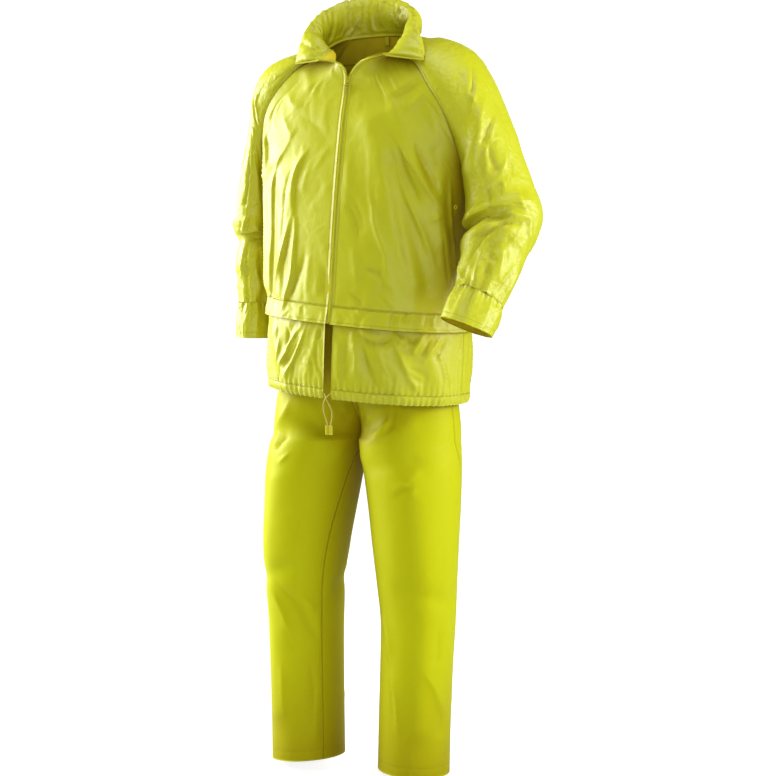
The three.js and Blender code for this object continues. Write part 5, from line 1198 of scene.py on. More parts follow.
CUFF_COLUMNS = 200
CUFF_ROWS = 26
CUFF_HEM_RIB = 13.45
CUFF_HEM_DEEP = 0.0006
cuff_gather = curve_through([11, 12, 13, 14], [0.0016, 0.0015, 0.0008, 0.0004])
for sleeve, side_name, seed in ((sleeve_right, "right", 71), (sleeve_left, "left", 74)):
    rib, turned = np.meshgrid(
        np.linspace(ELASTIC_RIB, LAST_RIB, CUFF_ROWS), np.arange(CUFF_COLUMNS) / CUFF_COLUMNS, indexing="ij"
    )
    points = sleeve.point(rib, turned)
    around = turned[0] * ROUND_LONG * 0.9
    closes = ease(turned[0], 0, 0.02) * ease(1 - turned[0], 0, 0.02)
    gather = (closes * puckers(around, seed, GATHER_PITCH))[None, :]
    wide_gather = (closes * puckers(around, seed + 1, 3 * GATHER_PITCH))[None, :]
    height = cuff_gather(rib) * np.exp(-(rib - ELASTIC_RIB) / 0.5) * gather
    height = height + 1.5 * cuff_gather(rib) * wide_gather
    height = height - CUFF_HEM_DEEP * np.exp(-(((rib - CUFF_HEM_RIB) / 0.05) ** 2))
    crumple = scatter(
        np.cumsum(np.full(CUFF_COLUMNS, 0.0015)), np.linspace(0, 0.075, CUFF_ROWS), seed, 60,
        lean=90, spread=30, long=(0.015, 0.04), width=(0.002, 0.004), depth=(0.0003, 0.001),
    )
    height = height + crumple * ease(turned, 0, 0.05) * ease(1 - turned, 0, 0.05)
    piece = shell("cuff_" + side_name + "_cloth", points, height, points - sleeve.middle(rib), closed=True,
                  material=crumpled_nylon)
    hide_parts("cuff_" + side_name)


# Collar: a stuffed stand that holds the rolled hood, crinkled all along. Its two front ends are opened out
# into wings, with the zip's teeth along their lower edges.
# By place along the neck seam: the top edge's x, y and z, the thickness, and how far the stand arches out.
COLLAR = [
    (0, -0.13, -0.06, 1.446, 0.006, 0.003),
    (1, -0.129, -0.05, 1.472, 0.012, 0.008),
    (2, -0.128, -0.038, 1.496, 0.017, 0.009),
    (3, -0.127, -0.018, 1.52, 0.02, 0.006),
    (4, -0.124, 0.012, 1.544, 0.023, 0.002),
    (5, -0.114, 0.052, 1.565, 0.025, 0),
    (6, -0.09, 0.082, 1.58, 0.026, 0),
    (7, -0.048, 0.098, 1.583, 0.026, 0),
    (8, -0.004, 0.099, 1.582, 0.026, 0),
    (9, 0.034, 0.087, 1.573, 0.026, 0),
    (10, 0.066, 0.065, 1.557, 0.026, 0),
    (11, 0.087, 0.038, 1.546, 0.025, 0),
    (12, 0.108, 0.002, 1.53, 0.023, 0.002),
    (13, 0.132, -0.024, 1.508, 0.02, 0.006),
    (14, 0.149, -0.038, 1.486, 0.015, 0.009),
    (15, 0.162, -0.05, 1.462, 0.01, 0.007),
    (16, 0.167, -0.06, 1.443, 0.006, 0.003),
]
COLLAR_LIFT = 0.0009
COLLAR_FOOT = 0.3
COLLAR_SQUARE = 2.6
COLLAR_STEPS = 190
COLLAR_ROUND = 64
COLLAR_STEP_LONG = 0.0029
# How deep a trough in the collar lies when it takes the painted shade whole.
COLLAR_HOLLOW_DEEP = 0.003
COLLAR_SEAM_DEEP = 0.0014
collar_table = np.array(COLLAR)
collar_top = curve_through(collar_table[:, 0], collar_table[:, 1:4])
collar_thick = curve_through(collar_table[:, 0], collar_table[:, 4])
collar_arch = curve_through(collar_table[:, 0], collar_table[:, 5])


def collar_sections(along):
    before, after = np.maximum(along - 0.05, 0), np.minimum(along + 0.05, NECK_LAST)
    base, top = neck(along), collar_top(along)
    rise = top - base
    base = base + unit(rise) * COLLAR_LIFT
    run = unit(neck(after) - neck(before)) + unit(collar_top(after) - collar_top(before))
    return base, top, unit(np.cross(run, rise))


collar_along = np.linspace(0, NECK_LAST, COLLAR_STEPS)
base, top, inward = collar_sections(collar_along)
angles = np.linspace(0, 2 * math.pi, COLLAR_ROUND, endpoint=False)
up = signed_power(-np.cos(angles), 2 / COLLAR_SQUARE)
fill = COLLAR_FOOT + (1 - COLLAR_FOOT) * ease(up, -1, 0.1)
half = (top - base)[:, None, :] / 2
out = np.sin(angles) * fill * collar_thick(collar_along)[:, None] / 2
out = out + collar_arch(collar_along)[:, None] * (1 - up**2)
points = base[:, None, :] + half + half * up[None, :, None] + inward[:, None, :] * out[..., None]
round_long = np.arange(COLLAR_ROUND) * COLLAR_STEP_LONG
along_long = travelled((base + top) / 2)
height = scatter(
    round_long, along_long, 81, 90, lean=10, spread=24,
    long=(0.03, 0.075), width=(0.004, 0.008), depth=(0.0008, 0.0028),
)
height = height + scatter(
    round_long, along_long, 82, 420, lean=20, spread=60,
    long=(0.012, 0.035), width=(0.002, 0.004), depth=(0.0005, 0.0018),
)
thin = ease(collar_thick(collar_along), 0.004, 0.016)[:, None]
height = height * (0.25 + 0.75 * thin) * ease(up, -1, -0.7)[None, :]
height = height - COLLAR_SEAM_DEEP * np.exp(-(((up + 0.9) / 0.06) ** 2))[None, :]
around = np.roll(points, -1, 1) - np.roll(points, 1, 1)
normals = unit(np.cross(np.gradient(points, axis=0), around))
middle = points.mean(1, keepdims=True)
normals = normals * np.where(np.sum(normals * (points - middle), -1).mean() < 0, -1, 1)
points = points + normals * height[..., None]
faces = grid_faces(COLLAR_STEPS, COLLAR_ROUND, closed=True)
cap_start = COLLAR_STEPS * COLLAR_ROUND
caps = []
for ring_start, center, turned in ((0, cap_start, True), (cap_start - COLLAR_ROUND, cap_start + 1, False)):
    for k in range(0, COLLAR_ROUND, 2):
        quad = [center, ring_start + k, ring_start + k + 1, ring_start + (k + 2) % COLLAR_ROUND]
        caps.append(quad[::-1] if turned else quad)
all_points = np.concatenate([points.reshape(-1, 3), points[0].mean(0)[None], points[-1].mean(0)[None]])
# Painted shade in the collar's hollows, as on the other cloth.
painted_hollow_shade = np.clip(-(height - blur(height, 4)) / COLLAR_HOLLOW_DEEP, 0, 1)
collar = mesh_piece("collar_cloth", all_points, np.concatenate([faces, caps]), [crumpled_nylon],
                    tint=np.concatenate([painted_hollow_shade.ravel(), [0, 0]]))
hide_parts("collar")


# Waist flap, skirt and hem channel: the flap is a flat strip over the skirt's gathered top. The skirt ends
# in a narrow channel for the draw cord, which puckers all round. All three are open at the zip.
FLAP_HIGH = 0.036
FLAP_FLARE = 0.006
FLAP_GAP = 0.0003
SKIRT_INSET = 0.00155
SKIRT_OPEN = 0.0045
HEM = 0.778
HEM_DROP = 0.064
HEM_HIGH = 0.02
HEM_DRAW = 0.003
FLAP_PUCKER = (0.0010, 0.034)  # depth, pitch
SKIRT_PUCKER = (0.0016, 0.013)
CHANNEL_PUCKER = (0.0013, 0.0125)
STITCH_DIP = 0.0006
CHANNEL_WALL = 0.0024
CHANNEL_ROWS = 12
# Name, first turn, the place of the end at the zip, and columns.
STRIPS = [
    ("front_right", -90, ZIP_X - ZIP_EDGE, 110),
    ("front_left", 90, ZIP_X + ZIP_EDGE, 110),
    ("back", 90, None, 210),
]
SKIRT_FOLDS = [
    (1, 0.006, 0.005, [(-15.4, 0.917), (-23.4, 0.887), (-28.5, 0.858), (-33.5, 0.839)]),
    (1, 0.007, 0.0055, [(-11.2, 0.920), (-17.2, 0.874), (-22.8, 0.841), (-29.4, 0.808)]),
    (0, 0.007, -0.0045, [(-27.3, 0.918), (-26.1, 0.898), (-27.9, 0.878)]),
    (0, 0.007, -0.0045, [(-15.1, 0.900), (-21.3, 0.867), (-28.2, 0.834)]),
    (0, 0.006, 0.003, [(-36.2, 0.909), (-35.3, 0.868), (-38.9, 0.824)]),
    (0, 0.005, -0.003, [(-3.5, 0.921), (-3.5, 0.893)]),
    (0, 0.008, 0.002, [(-7.4, 0.882), (-9.8, 0.842), (-12.1, 0.808)]),
    (0, 0.006, -0.003, [(-29.7, 0.846), (-34.1, 0.821), (-37.7, 0.806)]),
    (0, 0.009, -0.006, [(14.5, 0.915), (17.7, 0.900), (23.3, 0.890), (30.0, 0.893), (36.4, 0.904)]),
    (-1, 0.009, 0.0045, [(12.4, 0.909), (13.9, 0.861), (13.6, 0.815)]),
    (0, 0.009, -0.0045, [(17.1, 0.896), (20.6, 0.840), (27.4, 0.797)]),
    (-1, 0.014, 0.0075, [(34.4, 0.895), (40.2, 0.857), (46.4, 0.817), (54.9, 0.786)]),
    (0, 0.012, -0.0035, [(30.0, 0.876), (32.6, 0.838), (39.1, 0.796)]),
    (0, 0.006, 0.005, [(35.3, 0.914), (37.6, 0.899), (42.6, 0.887)]),
    (0, 0.006, -0.0048, [(41.7, 0.908), (46.4, 0.892), (49.9, 0.901)]),
    (1, 0.007, 0.005, [(54.3, 0.908), (49.9, 0.883), (46.4, 0.865)]),
    (1, 0.007, 0.0046, [(68.0, 0.903), (61.0, 0.878), (54.9, 0.857)]),
    (0, 0.006, -0.004, [(60.1, 0.902), (56.3, 0.883), (51.9, 0.863)]),
    (0, 0.006, -0.0034, [(73.0, 0.899), (67.2, 0.875), (61.9, 0.853)]),
    (0, 0.01, 0.0035, [(86.5, 0.883), (89.7, 0.843), (88.8, 0.797)]),
    (0, 0.008, 0.0024, [(5.7, 0.895), (4.8, 0.851), (5.1, 0.806)]),
    (0, 0.008, -0.0026, [(9.2, 0.899), (8.6, 0.856), (9.0, 0.806)]),
    (0, 0.009, 0.004, [(62, 0.895), (76, 0.8)]),
    (0, 0.009, 0.004, [(-60, 0.92), (-62, 0.81)]),
    (0, 0.009, 0.0035, [(-76, 0.92), (-76, 0.81)]),
    (0, 0.01, 0.004, [(108, 0.9), (116, 0.8)]),
    (0, 0.01, 0.004, [(128, 0.9), (134, 0.79)]),
    (0, 0.01, 0.004, [(160, 0.91), (164, 0.79)]),
    (0, 0.01, 0.004, [(182, 0.92), (184, 0.8)]),
    (0, 0.01, 0.004, [(214, 0.92), (220, 0.8)]),
    (0, 0.01, 0.004, [(240, 0.92), (246, 0.81)]),
]
FLAP_FOLDS = [
    (0, 0.004, 0.0026, [(32.7, 0.951), (32.4, 0.945), (30.9, 0.927)]),
    (0, 0.003, -0.0022, [(35.0, 0.950), (34.7, 0.943), (33.9, 0.925)]),
    (0, 0.004, 0.0028, [(40.1, 0.949), (38.9, 0.940), (38.0, 0.924)]),
    (0, 0.003, -0.0024, [(43.0, 0.948), (42.1, 0.943), (40.9, 0.924)]),
    (0, 0.004, 0.0026, [(46.9, 0.948), (46.0, 0.939), (44.8, 0.922)]),
    (0, 0.004, 0.0028, [(53.9, 0.947), (51.9, 0.939), (51.0, 0.920)]),
    (0, 0.003, -0.0022, [(56.6, 0.946), (55.1, 0.935), (53.4, 0.918)]),
    (0, 0.004, 0.0026, [(62.8, 0.945), (60.4, 0.935), (59.3, 0.916)]),
    (0, 0.004, 0.0022, [(13.5, 0.956), (14.9, 0.952), (18.2, 0.939)]),
]


def hem_line(turn):
    return HEM - HEM_DROP * body_smooth(turn, HEM)[..., 0]


def strip_points(start_turn, to_x, spread, across, place):
    """A strip of cloth round the body. Place gives a point's height and its distance out."""
    up, t = place["up"][:, None], np.linspace(0, 1, across + 1)[None, :]
    end_rough = 270 if to_x is None else front_turn(to_x + np.sign(to_x - ZIP_X) * spread, HEM)
    rough = start_turn + (end_rough - start_turn) * t + 0 * up
    z, out = place["at"](up, rough)
    end = 270 if to_x is None else front_turn(to_x + np.sign(to_x - ZIP_X) * spread, z)
    turn = start_turn + (end - start_turn) * t + 0 * up
    return body(turn, z, out), turn, z


def strip_cloth(name, node, made, height, material=smooth_nylon, wall=CLOTH_WALL):
    points, _, z = made
    outside = np.stack([points[..., 0], points[..., 1], np.zeros_like(z)], -1)
    piece = shell(name, points, height, outside, material=material, wall=wall)
    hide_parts(node)
    return piece


body_folds = {"front_right": FRONT_RIGHT_FOLDS, "front_left": FRONT_LEFT_FOLDS, "back": BACK_FOLDS}
for number, (strip, start_turn, to_x, across) in enumerate(STRIPS):
    seam_sides = (False, True, True, to_x is None)
    flap = strip_points(start_turn, to_x, 0, across, {
        "up": np.linspace(0, 1, 16),
        "at": lambda up, turn: (
            waist_line(turn) - FLAP_GAP - FLAP_HIGH * (1 - up),
            FLAP_FLARE * (1 - up) + 0 * turn,
        ),
    })
    columns_long, rows_long = arc_sizes(flap[0])
    deep, pitch = FLAP_PUCKER
    wave = puckers(columns_long, 90 + number, pitch)[None, :]
    height = deep * wave * ease(rows_long.max() - rows_long, 0, 0.03)[:, None]
    height += scatter(
        columns_long, rows_long, 93 + number, 60, lean=60, spread=40,
        long=(0.012, 0.03), width=(0.002, 0.005), depth=(0.0003, 0.0009),
    )
    fold_line = np.exp(-(((rows_long - 0.006) / 0.0012) ** 2))[:, None]
    height = height * edge_weight(rows_long, columns_long, seam_sides) - STITCH_DIP * fold_line
    height += folded(flap[1] * metres, flap[2], FLAP_FOLDS + body_folds[strip], (metres, 1))
    strip_cloth("flap_" + strip, "waist_flap_" + strip, flap, height)

    skirt = strip_points(start_turn, to_x, SKIRT_OPEN, across, {
        "up": np.linspace(0, 1, 62),
        "at": lambda up, turn: (
            hem_line(turn) + HEM_HIGH + (waist_line(turn) - 0.002 - hem_line(turn) - HEM_HIGH) * up,
            -SKIRT_INSET + 0 * turn,
        ),
    })
    columns_long, rows_long = arc_sizes(skirt[0])
    height = folded(skirt[1] * metres, skirt[2], SKIRT_FOLDS, (metres, 1))
    height += scatter(
        columns_long, rows_long, 96 + number, 26, lean=80, spread=24,
        long=(0.04, 0.09), width=(0.004, 0.008), depth=(0.0004, 0.0016),
    )
    height += scatter(
        columns_long, rows_long, 99 + number, 60, lean=60, spread=60,
        long=(0.012, 0.035), width=(0.002, 0.004), depth=(0.0002, 0.0007),
    )
    to_hem = rows_long[:, None]
    deep, pitch = SKIRT_PUCKER
    height += deep * puckers(columns_long, 102 + number, pitch)[None, :] * np.exp(-to_hem / 0.016)
    under_flap = ease(rows_long.max() - rows_long, 0.01, 0.05)[:, None]
    weight = edge_weight(rows_long, columns_long, (False, False, True, to_x is None))
    height = height * weight * under_flap - 0.0007 * np.exp(-((to_hem / 0.002) ** 2))
    strip_cloth("skirt_" + strip + "_cloth", "skirt_" + strip, skirt, height)

    channel = strip_points(start_turn, to_x, SKIRT_OPEN, across * 2, {
        "up": np.linspace(0, 1, CHANNEL_ROWS),
        "at": lambda up, turn: (
            hem_line(turn) + HEM_HIGH * up,
            -SKIRT_INSET + 0.0014 * np.sin(math.pi * up) - HEM_DRAW * (1 - up) ** 1.5 + 0 * turn,
        ),
    })
    columns_long, rows_long = arc_sizes(channel[0])
    deep, pitch = CHANNEL_PUCKER
    wave = puckers(columns_long, 105 + number, pitch)[None, :]
    height = deep * wave * (1.15 - np.linspace(0, 1, CHANNEL_ROWS))[:, None]
    height *= edge_weight(rows_long, columns_long, (False, False, True, to_x is None), 0.006)
    strip_cloth("channel_" + strip, "hem_channel_" + strip, channel, height,
                material=crumpled_nylon, wall=CHANNEL_WALL)


# Trousers: two fronts and two backs, each from the waist to the hem, sewn at the sides, the inner legs and
# the middle. The elastic waistband is under the jacket.
RISE_NAMES = ("z", "front_y", "back_y", "side_x", "side_y", "deep")
RISE = [
    (0.688, 0, 0, 0.205, 0, 0.106),
    (0.7, -0.009, 0.034, 0.205, 0, 0.107),
    (0.722, -0.022, 0.068, 0.203, 0, 0.108),
    (0.757, -0.045, 0.093, 0.1984, 0, 0.109),
    (0.8, -0.078, 0.11, 0.1892, 0, 0.111),
    (0.85, -0.102, 0.118, 0.182, 0, 0.118),
    (0.91, -0.114, 0.12, 0.176, 0, 0.1205),
    (0.975, -0.114, 0.116, 0.168, 0, 0.117),
    (1.03, -0.106, 0.108, 0.158, 0, 0.109),
]
LEG_NAMES = ("z", "x", "y", "turn", "across", "deep")
LEG = [
    (0.02, 0.124, -0.0225, 35, 0.073, 0.076),
    (0.127, 0.126, -0.0215, 35, 0.073, 0.076),
    (0.25, 0.1296, -0.0195, 35, 0.074, 0.077),
    (0.325, 0.1316, -0.018, 35, 0.076, 0.079),
    (0.4, 0.131, -0.022, 34, 0.081, 0.084),
    (0.475, 0.127, -0.021, 31, 0.087, 0.091),
    (0.55, 0.121, -0.0145, 25, 0.093, 0.097),
    (0.64, 0.112, -0.008, 13, 0.1, 0.104),
    (0.688, 0.1025, 0, 0, 0.1025, 0.106),
]
CROTCH = 0.688
TROUSER_TOP = 1.03
RIGHT_LEG_WIDER = 0.0025
LEG_HEM = 0.02
LEG_HEM_SLOPE = {-1: 0.09, 1: 0.05}
LEG_HALF_ROUND = 0.24
LEG_FOLDS = {
    -1: [
        (0.35, 0.72, 0.75, 0.69, 0.018, -0.004),
        (0.15, 0.66, 0.6, 0.73, 0.02, 0.004),
        (0.3, 0.42, 0.7, 0.385, 0.02, -0.004),
        (0.5, 0.6, 0.45, 0.12, 0.026, 0.004),
        (1.3, 0.65, 1.7, 0.69, 0.022, -0.005),
        (1.4, 0.42, 1.8, 0.38, 0.022, -0.004),
    ],
    1: [
        (0.2, 0.655, 0.6, 0.725, 0.02, 0.004),
        (0.3, 0.64, 0.62, 0.655, 0.016, -0.004),
        (0.35, 0.4, 0.75, 0.37, 0.02, -0.004),
        (0.55, 0.6, 0.5, 0.12, 0.026, 0.004),
        (1.3, 0.69, 1.7, 0.65, 0.022, -0.005),
        (1.4, 0.41, 1.8, 0.37, 0.022, -0.004),
    ],
}
# Smaller folds, by the share of half the way round each leg and the height.
LEG_CREASES = {
    -1: [
        (1, 0.012, 0.006, [(0.50, 0.767), (0.58, 0.734), (0.76, 0.684), (0.60, 0.637)]),
        (0, 0.006, 0.004, [(0.59, 0.704), (0.67, 0.688), (0.64, 0.666)]),
        (0, 0.006, -0.0038, [(0.56, 0.698), (0.60, 0.678), (0.59, 0.658)]),
        (0, 0.006, 0.003, [(0.48, 0.660), (0.49, 0.647), (0.52, 0.635)]),
        (0, 0.014, -0.0045, [(0.17, 0.769), (0.12, 0.743), (0.06, 0.730)]),
        (0, 0.008, 0.0035, [(0.25, 0.771), (0.15, 0.751), (0.06, 0.741)]),
        (0, 0.014, -0.005, [(0.40, 0.394), (0.24, 0.356), (0.14, 0.320), (0.03, 0.267)]),
        (-1, 0.012, 0.0045, [(0.46, 0.376), (0.38, 0.354), (0.31, 0.313), (0.24, 0.249)]),
        (0, 0.008, 0.003, [(0.19, 0.370), (0.11, 0.352), (0.05, 0.332)]),
        (0, 0.012, -0.003, [(0.32, 0.303), (0.28, 0.273), (0.22, 0.237)]),
        (0, 0.012, 0.003, [(0.37, 0.228), (0.36, 0.168), (0.35, 0.105)]),
        (0, 0.008, -0.0025, [(0.11, 0.233), (0.08, 0.170), (0.08, 0.097)]),
        (0, 0.007, 0.0022, [(0.05, 0.170), (0.06, 0.119), (0.06, 0.056)]),
        (0, 0.01, 0.0034, [(1.2, 0.71), (1.7, 0.66)]),
        (0, 0.01, 0.003, [(1.2, 0.45), (1.7, 0.41)]),
        (0, 0.014, 0.0024, [(1.5, 0.6), (1.5, 0.2)]),
    ],
    1: [
        (-1, 0.012, 0.0075, [(0.30, 0.704), (0.38, 0.702), (0.42, 0.710), (0.45, 0.728), (0.47, 0.751)]),
        (0, 0.006, 0.004, [(0.39, 0.710), (0.43, 0.722), (0.45, 0.734)]),
        (0, 0.006, 0.0036, [(0.17, 0.720), (0.26, 0.737), (0.32, 0.747)]),
        (0, 0.01, -0.0045, [(0.16, 0.747), (0.19, 0.730), (0.31, 0.718)]),
        (0, 0.009, -0.0042, [(0.48, 0.765), (0.48, 0.737), (0.47, 0.708)]),
        (0, 0.009, 0.0032, [(0.65, 0.641), (0.59, 0.629), (0.53, 0.615)]),
        (0, 0.007, 0.0034, [(0.59, 0.605), (0.55, 0.595), (0.51, 0.585)]),
        (0, 0.008, -0.0028, [(0.55, 0.607), (0.48, 0.597), (0.40, 0.581)]),
        (0, 0.007, 0.003, [(0.54, 0.617), (0.48, 0.605), (0.40, 0.589)]),
        (0, 0.01, 0.005, [(0.11, 0.358), (0.14, 0.322), (0.19, 0.285), (0.18, 0.253)]),
        (0, 0.009, 0.0045, [(0.14, 0.247), (0.23, 0.206), (0.28, 0.164), (0.31, 0.099)]),
        (0, 0.009, -0.004, [(0.14, 0.299), (0.18, 0.237), (0.25, 0.174), (0.28, 0.105)]),
        (-1, 0.014, 0.0035, [(0.51, 0.235), (0.60, 0.208), (0.67, 0.176), (0.75, 0.131)]),
        (0, 0.014, -0.003, [(0.64, 0.322), (0.66, 0.277), (0.65, 0.241)]),
        (0, 0.014, -0.0026, [(0.71, 0.162), (0.72, 0.129), (0.71, 0.093)]),
        (0, 0.01, 0.0034, [(1.2, 0.7), (1.7, 0.65)]),
        (0, 0.01, 0.003, [(1.2, 0.44), (1.7, 0.4)]),
        (0, 0.014, 0.0024, [(1.5, 0.6), (1.5, 0.2)]),
    ],
}
rise_table, leg_table = np.array(RISE), np.array(LEG)
rise_at = {name: curve_through(rise_table[:, 0], rise_table[:, k]) for k, name in enumerate(RISE_NAMES)}
leg_at = {name: curve_through(leg_table[:, 0], leg_table[:, k]) for k, name in enumerate(LEG_NAMES)}


def leg_point(side, z, turned):
    """A point of one trouser leg, and above the crotch of one half of the seat."""
    above = (z > CROTCH)[..., None]
    zero = np.zeros_like(z)
    high = np.maximum(z, CROTCH)
    low = np.minimum(z, CROTCH)
    rise_front = np.stack([zero, rise_at["front_y"](high), z], -1)
    rise_back = np.stack([zero, rise_at["back_y"](high), z], -1)
    rise_outer = np.stack([side * rise_at["side_x"](high), zero, z], -1)
    wider = RIGHT_LEG_WIDER * ease(CROTCH - low, 0, 0.09) if side < 0 else zero
    angle, across = np.radians(leg_at["turn"](low)), leg_at["across"](low) + wider
    reach = np.stack([-side * across * np.cos(angle), -across * np.sin(angle), zero], -1)
    center = np.stack([side * (leg_at["x"](low) + wider), leg_at["y"](low), z], -1)
    front = np.where(above, rise_front, center + reach)
    back = np.where(above, rise_back, center + reach)
    outer = np.where(above, rise_outer, center - reach)
    deep = np.where(z > CROTCH, rise_at["deep"](high), leg_at["deep"](low))
    across_leg = outer - front
    forward = unit(np.stack([side * across_leg[..., 1], -side * across_leg[..., 0], zero], -1))
    forward = np.where(above, np.array([0.0, -1.0, 0.0]), forward)
    place = ring(front, back, outer, deep, forward, turned)
    middle = (front + back) / 4 + outer / 2
    scaled = [(a * LEG_HALF_ROUND, b, c * LEG_HALF_ROUND, d, e, f) for a, b, c, d, e, f in LEG_FOLDS[side]]
    fold = large_folds(2 * turned * LEG_HALF_ROUND, z, scaled)
    fold = fold * ease(np.minimum(turned, 1 - turned), 0, 0.08)
    outward = (place - middle) * np.array([1, 1, 0])
    return place + unit(outward) * fold[..., None], outward


LEG_COLUMNS = 64
LEG_HEM_STITCHES = 0.022
leg_share = np.concatenate([np.linspace(0, 1, 160)[:-1], 1 + np.linspace(0, 1, 44)])
for side, side_name in ((-1, "right"), (1, "left")):
    for face, ends in (("front", (0, 0.5)), ("back", (1, 0.5))):
        turned_line = np.linspace(*ends, LEG_COLUMNS + 1)
        flat_hem, _ = leg_point(side, np.full_like(turned_line, LEG_HEM), turned_line)
        hem = LEG_HEM + LEG_HEM_SLOPE[side] * (0.1 - np.abs(flat_hem[:, 0] - side * 0.024))
        share = leg_share[:, None]
        z = np.where(share <= 1, hem + (CROTCH - hem) * share, CROTCH + (TROUSER_TOP - CROTCH) * (share - 1))
        turned = turned_line[None, :] + 0 * z
        points, outward = leg_point(side, z, turned)
        columns_long, rows_long = arc_sizes(points)
        seed = 120 + 10 * (side > 0) + 5 * (face == "back")
        height = folded(2 * turned * LEG_HALF_ROUND, z, LEG_CREASES[side], (LEG_HALF_ROUND, 1))
        height += scatter(
            columns_long, rows_long, seed, 14, lean=70, spread=40,
            long=(0.05, 0.14), width=(0.008, 0.014), depth=(0.0002, 0.0007),
        )
        height += scatter(
            columns_long, rows_long, seed + 1, 40, lean=30, spread=60,
            long=(0.015, 0.04), width=(0.003, 0.006), depth=(0.0001, 0.0002),
        )
        height -= STITCH_DIP * np.exp(-(((rows_long - LEG_HEM_STITCHES) / 0.0012) ** 2))[:, None]
        sewn = (False, True, True, True)
        height = height * edge_weight(rows_long, columns_long, sewn)
        height = height + seam_roll(rows_long, columns_long, sewn)
        node = "trouser_" + face + "_" + side_name
        piece = shell(node + "_cloth", points, height, outward, material=hanging_nylon)
        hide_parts(node)

waistband = bpy.data.objects["trouser_waistband"]
waistband.data.materials.clear()
waistband.data.materials.append(crumpled_nylon)


# Seams: topstitching in a slightly darker thread, along one side of each seam. Every stitch is a short bar
# that sits in the cloth. Inside, a binding closes the neck seam, and tapes the back raglans and the rise.
STITCH_PITCH = 0.0032
STITCH = (0.0023, 0.0006, 0.00035)  # along, across, out
THREAD_COLOUR = (0.33, 0.30, 0.01, 1)
THREAD_ROUGH = 0.6
STITCH_PROUD = 0.0001
BINDING_ACROSS = 0.0042
BINDING_ROWS = 260
BINDING_SIDES = 10
TAPE_ROWS = 120
TAPE_SIDES = 8
SEAM_TAPE_ACROSS = 0.0044
SEAM_TAPE_DEEP = 0.0022
SEAT_TAPE_TOP = 0.86
thread, _ = finish("polyester_thread", THREAD_COLOUR, THREAD_ROUGH)


def beside_edge(grid, edge, inside):
    """A line across a grid of points at a real distance in from one edge: first, last, bottom or top."""
    if edge in ("bottom", "top"):
        grid = grid.transpose(1, 0, 2)
    if edge in ("last", "top"):
        grid = grid[:, ::-1]
    away = np.cumsum(np.linalg.norm(np.diff(grid, axis=1), axis=2), 1)
    away = np.concatenate([np.zeros((len(grid), 1)), away], 1)
    line = np.empty((len(grid), 3))
    for row in range(len(grid)):
        for k in range(3):
            line[row, k] = np.interp(inside, away[row], grid[row, :, k])
    return line


def spaced_along(line, pitch, *others):
    """A line, and others that go with it, at even distances along it."""
    travel = travelled(line)
    stops = np.arange(pitch / 2, travel[-1], pitch)
    return [
        np.array([np.interp(stops, travel, values[:, k]) for k in range(3)]).T for values in (line, *others)
    ]


def bars(name, places, runs, outs, size, materials):
    """Many small bevelled bars in one piece: each at a place, along its run, standing out from the cloth."""
    corners = []
    for along in (-1, 1):
        for across in (-1, 1):
            corners.append((along, across, -0.6))
            corners.append((along * 0.7, across * 0.6, 1))
    corners = np.array(corners) * np.array(size) / 2
    runs = unit(runs)
    sides = unit(np.cross(outs, runs))
    outs = np.cross(runs, sides)
    frames = np.stack([runs, sides, outs], 1)
    points = places[:, None, :] + np.einsum("kc,ncd->nkd", corners, frames)
    quads = np.array([[1, 3, 7, 5], [0, 4, 6, 2], [0, 1, 5, 4], [2, 6, 7, 3], [0, 2, 3, 1], [4, 5, 7, 6]])
    faces = (quads[None] + 8 * np.arange(len(places))[:, None, None]).reshape(-1, 4)
    piece = mesh_piece(name, points, faces, materials)
    piece.data.polygons.foreach_set("use_smooth", [False] * len(faces))


FRONTS = ["front_right", "front_left"]
SLEEVES = ["sleeve_right_cloth", "sleeve_left_cloth"]
FLAPS = ["flap_front_right", "flap_front_left", "flap_back"]
CHANNELS = ["channel_front_right", "channel_front_left", "channel_back"]
TROUSER_FRONTS = ["trouser_front_right_cloth", "trouser_front_left_cloth"]
TROUSER_BACKS = ["trouser_back_right_cloth", "trouser_back_left_cloth"]
# The pieces, which edge of each is sewn, and how far in from it the stitches run.
SEAM_ROWS = [
    (FRONTS, "last", 0.0018),
    (SLEEVES, "first", 0.0055),
    (SLEEVES, "last", 0.0055),
    (["back_lower"], "first", 0.0018),
    (["back_lower"], "last", 0.0018),
    (["back_lower"], "top", 0.0018),
    (FRONTS, "first", 0.006),
    ([*FRONTS, "back_lower"], "bottom", 0.0022),
    (FLAPS, "top", 0.0022),
    (FLAPS, "bottom", 0.006),
    (CHANNELS, "top", 0.0016),
    (TROUSER_FRONTS, "first", 0.002),
    (TROUSER_FRONTS, "last", 0.002),
    (TROUSER_FRONTS + TROUSER_BACKS, "bottom", LEG_HEM_STITCHES),
    (["cuff_right_cloth", "cuff_left_cloth"], "top", 0.012),
]
stitch_places, stitch_runs, stitch_outs = [], [], []
for piece_names, edge, inside in SEAM_ROWS:
    for piece_name in piece_names:
        outer, facing_out = outer_faces[piece_name]
        line = beside_edge(outer, edge, inside)
        toward = beside_edge(outer + facing_out * 0.01, edge, inside) - line
        places, outs, runs = spaced_along(line, STITCH_PITCH, toward, np.gradient(line, axis=0))
        stitch_places.append(places + unit(outs) * STITCH_PROUD)
        stitch_outs.append(unit(outs))
        stitch_runs.append(runs)
bars("topstitching", np.concatenate(stitch_places), np.concatenate(stitch_runs), np.concatenate(stitch_outs),
     STITCH, [thread])

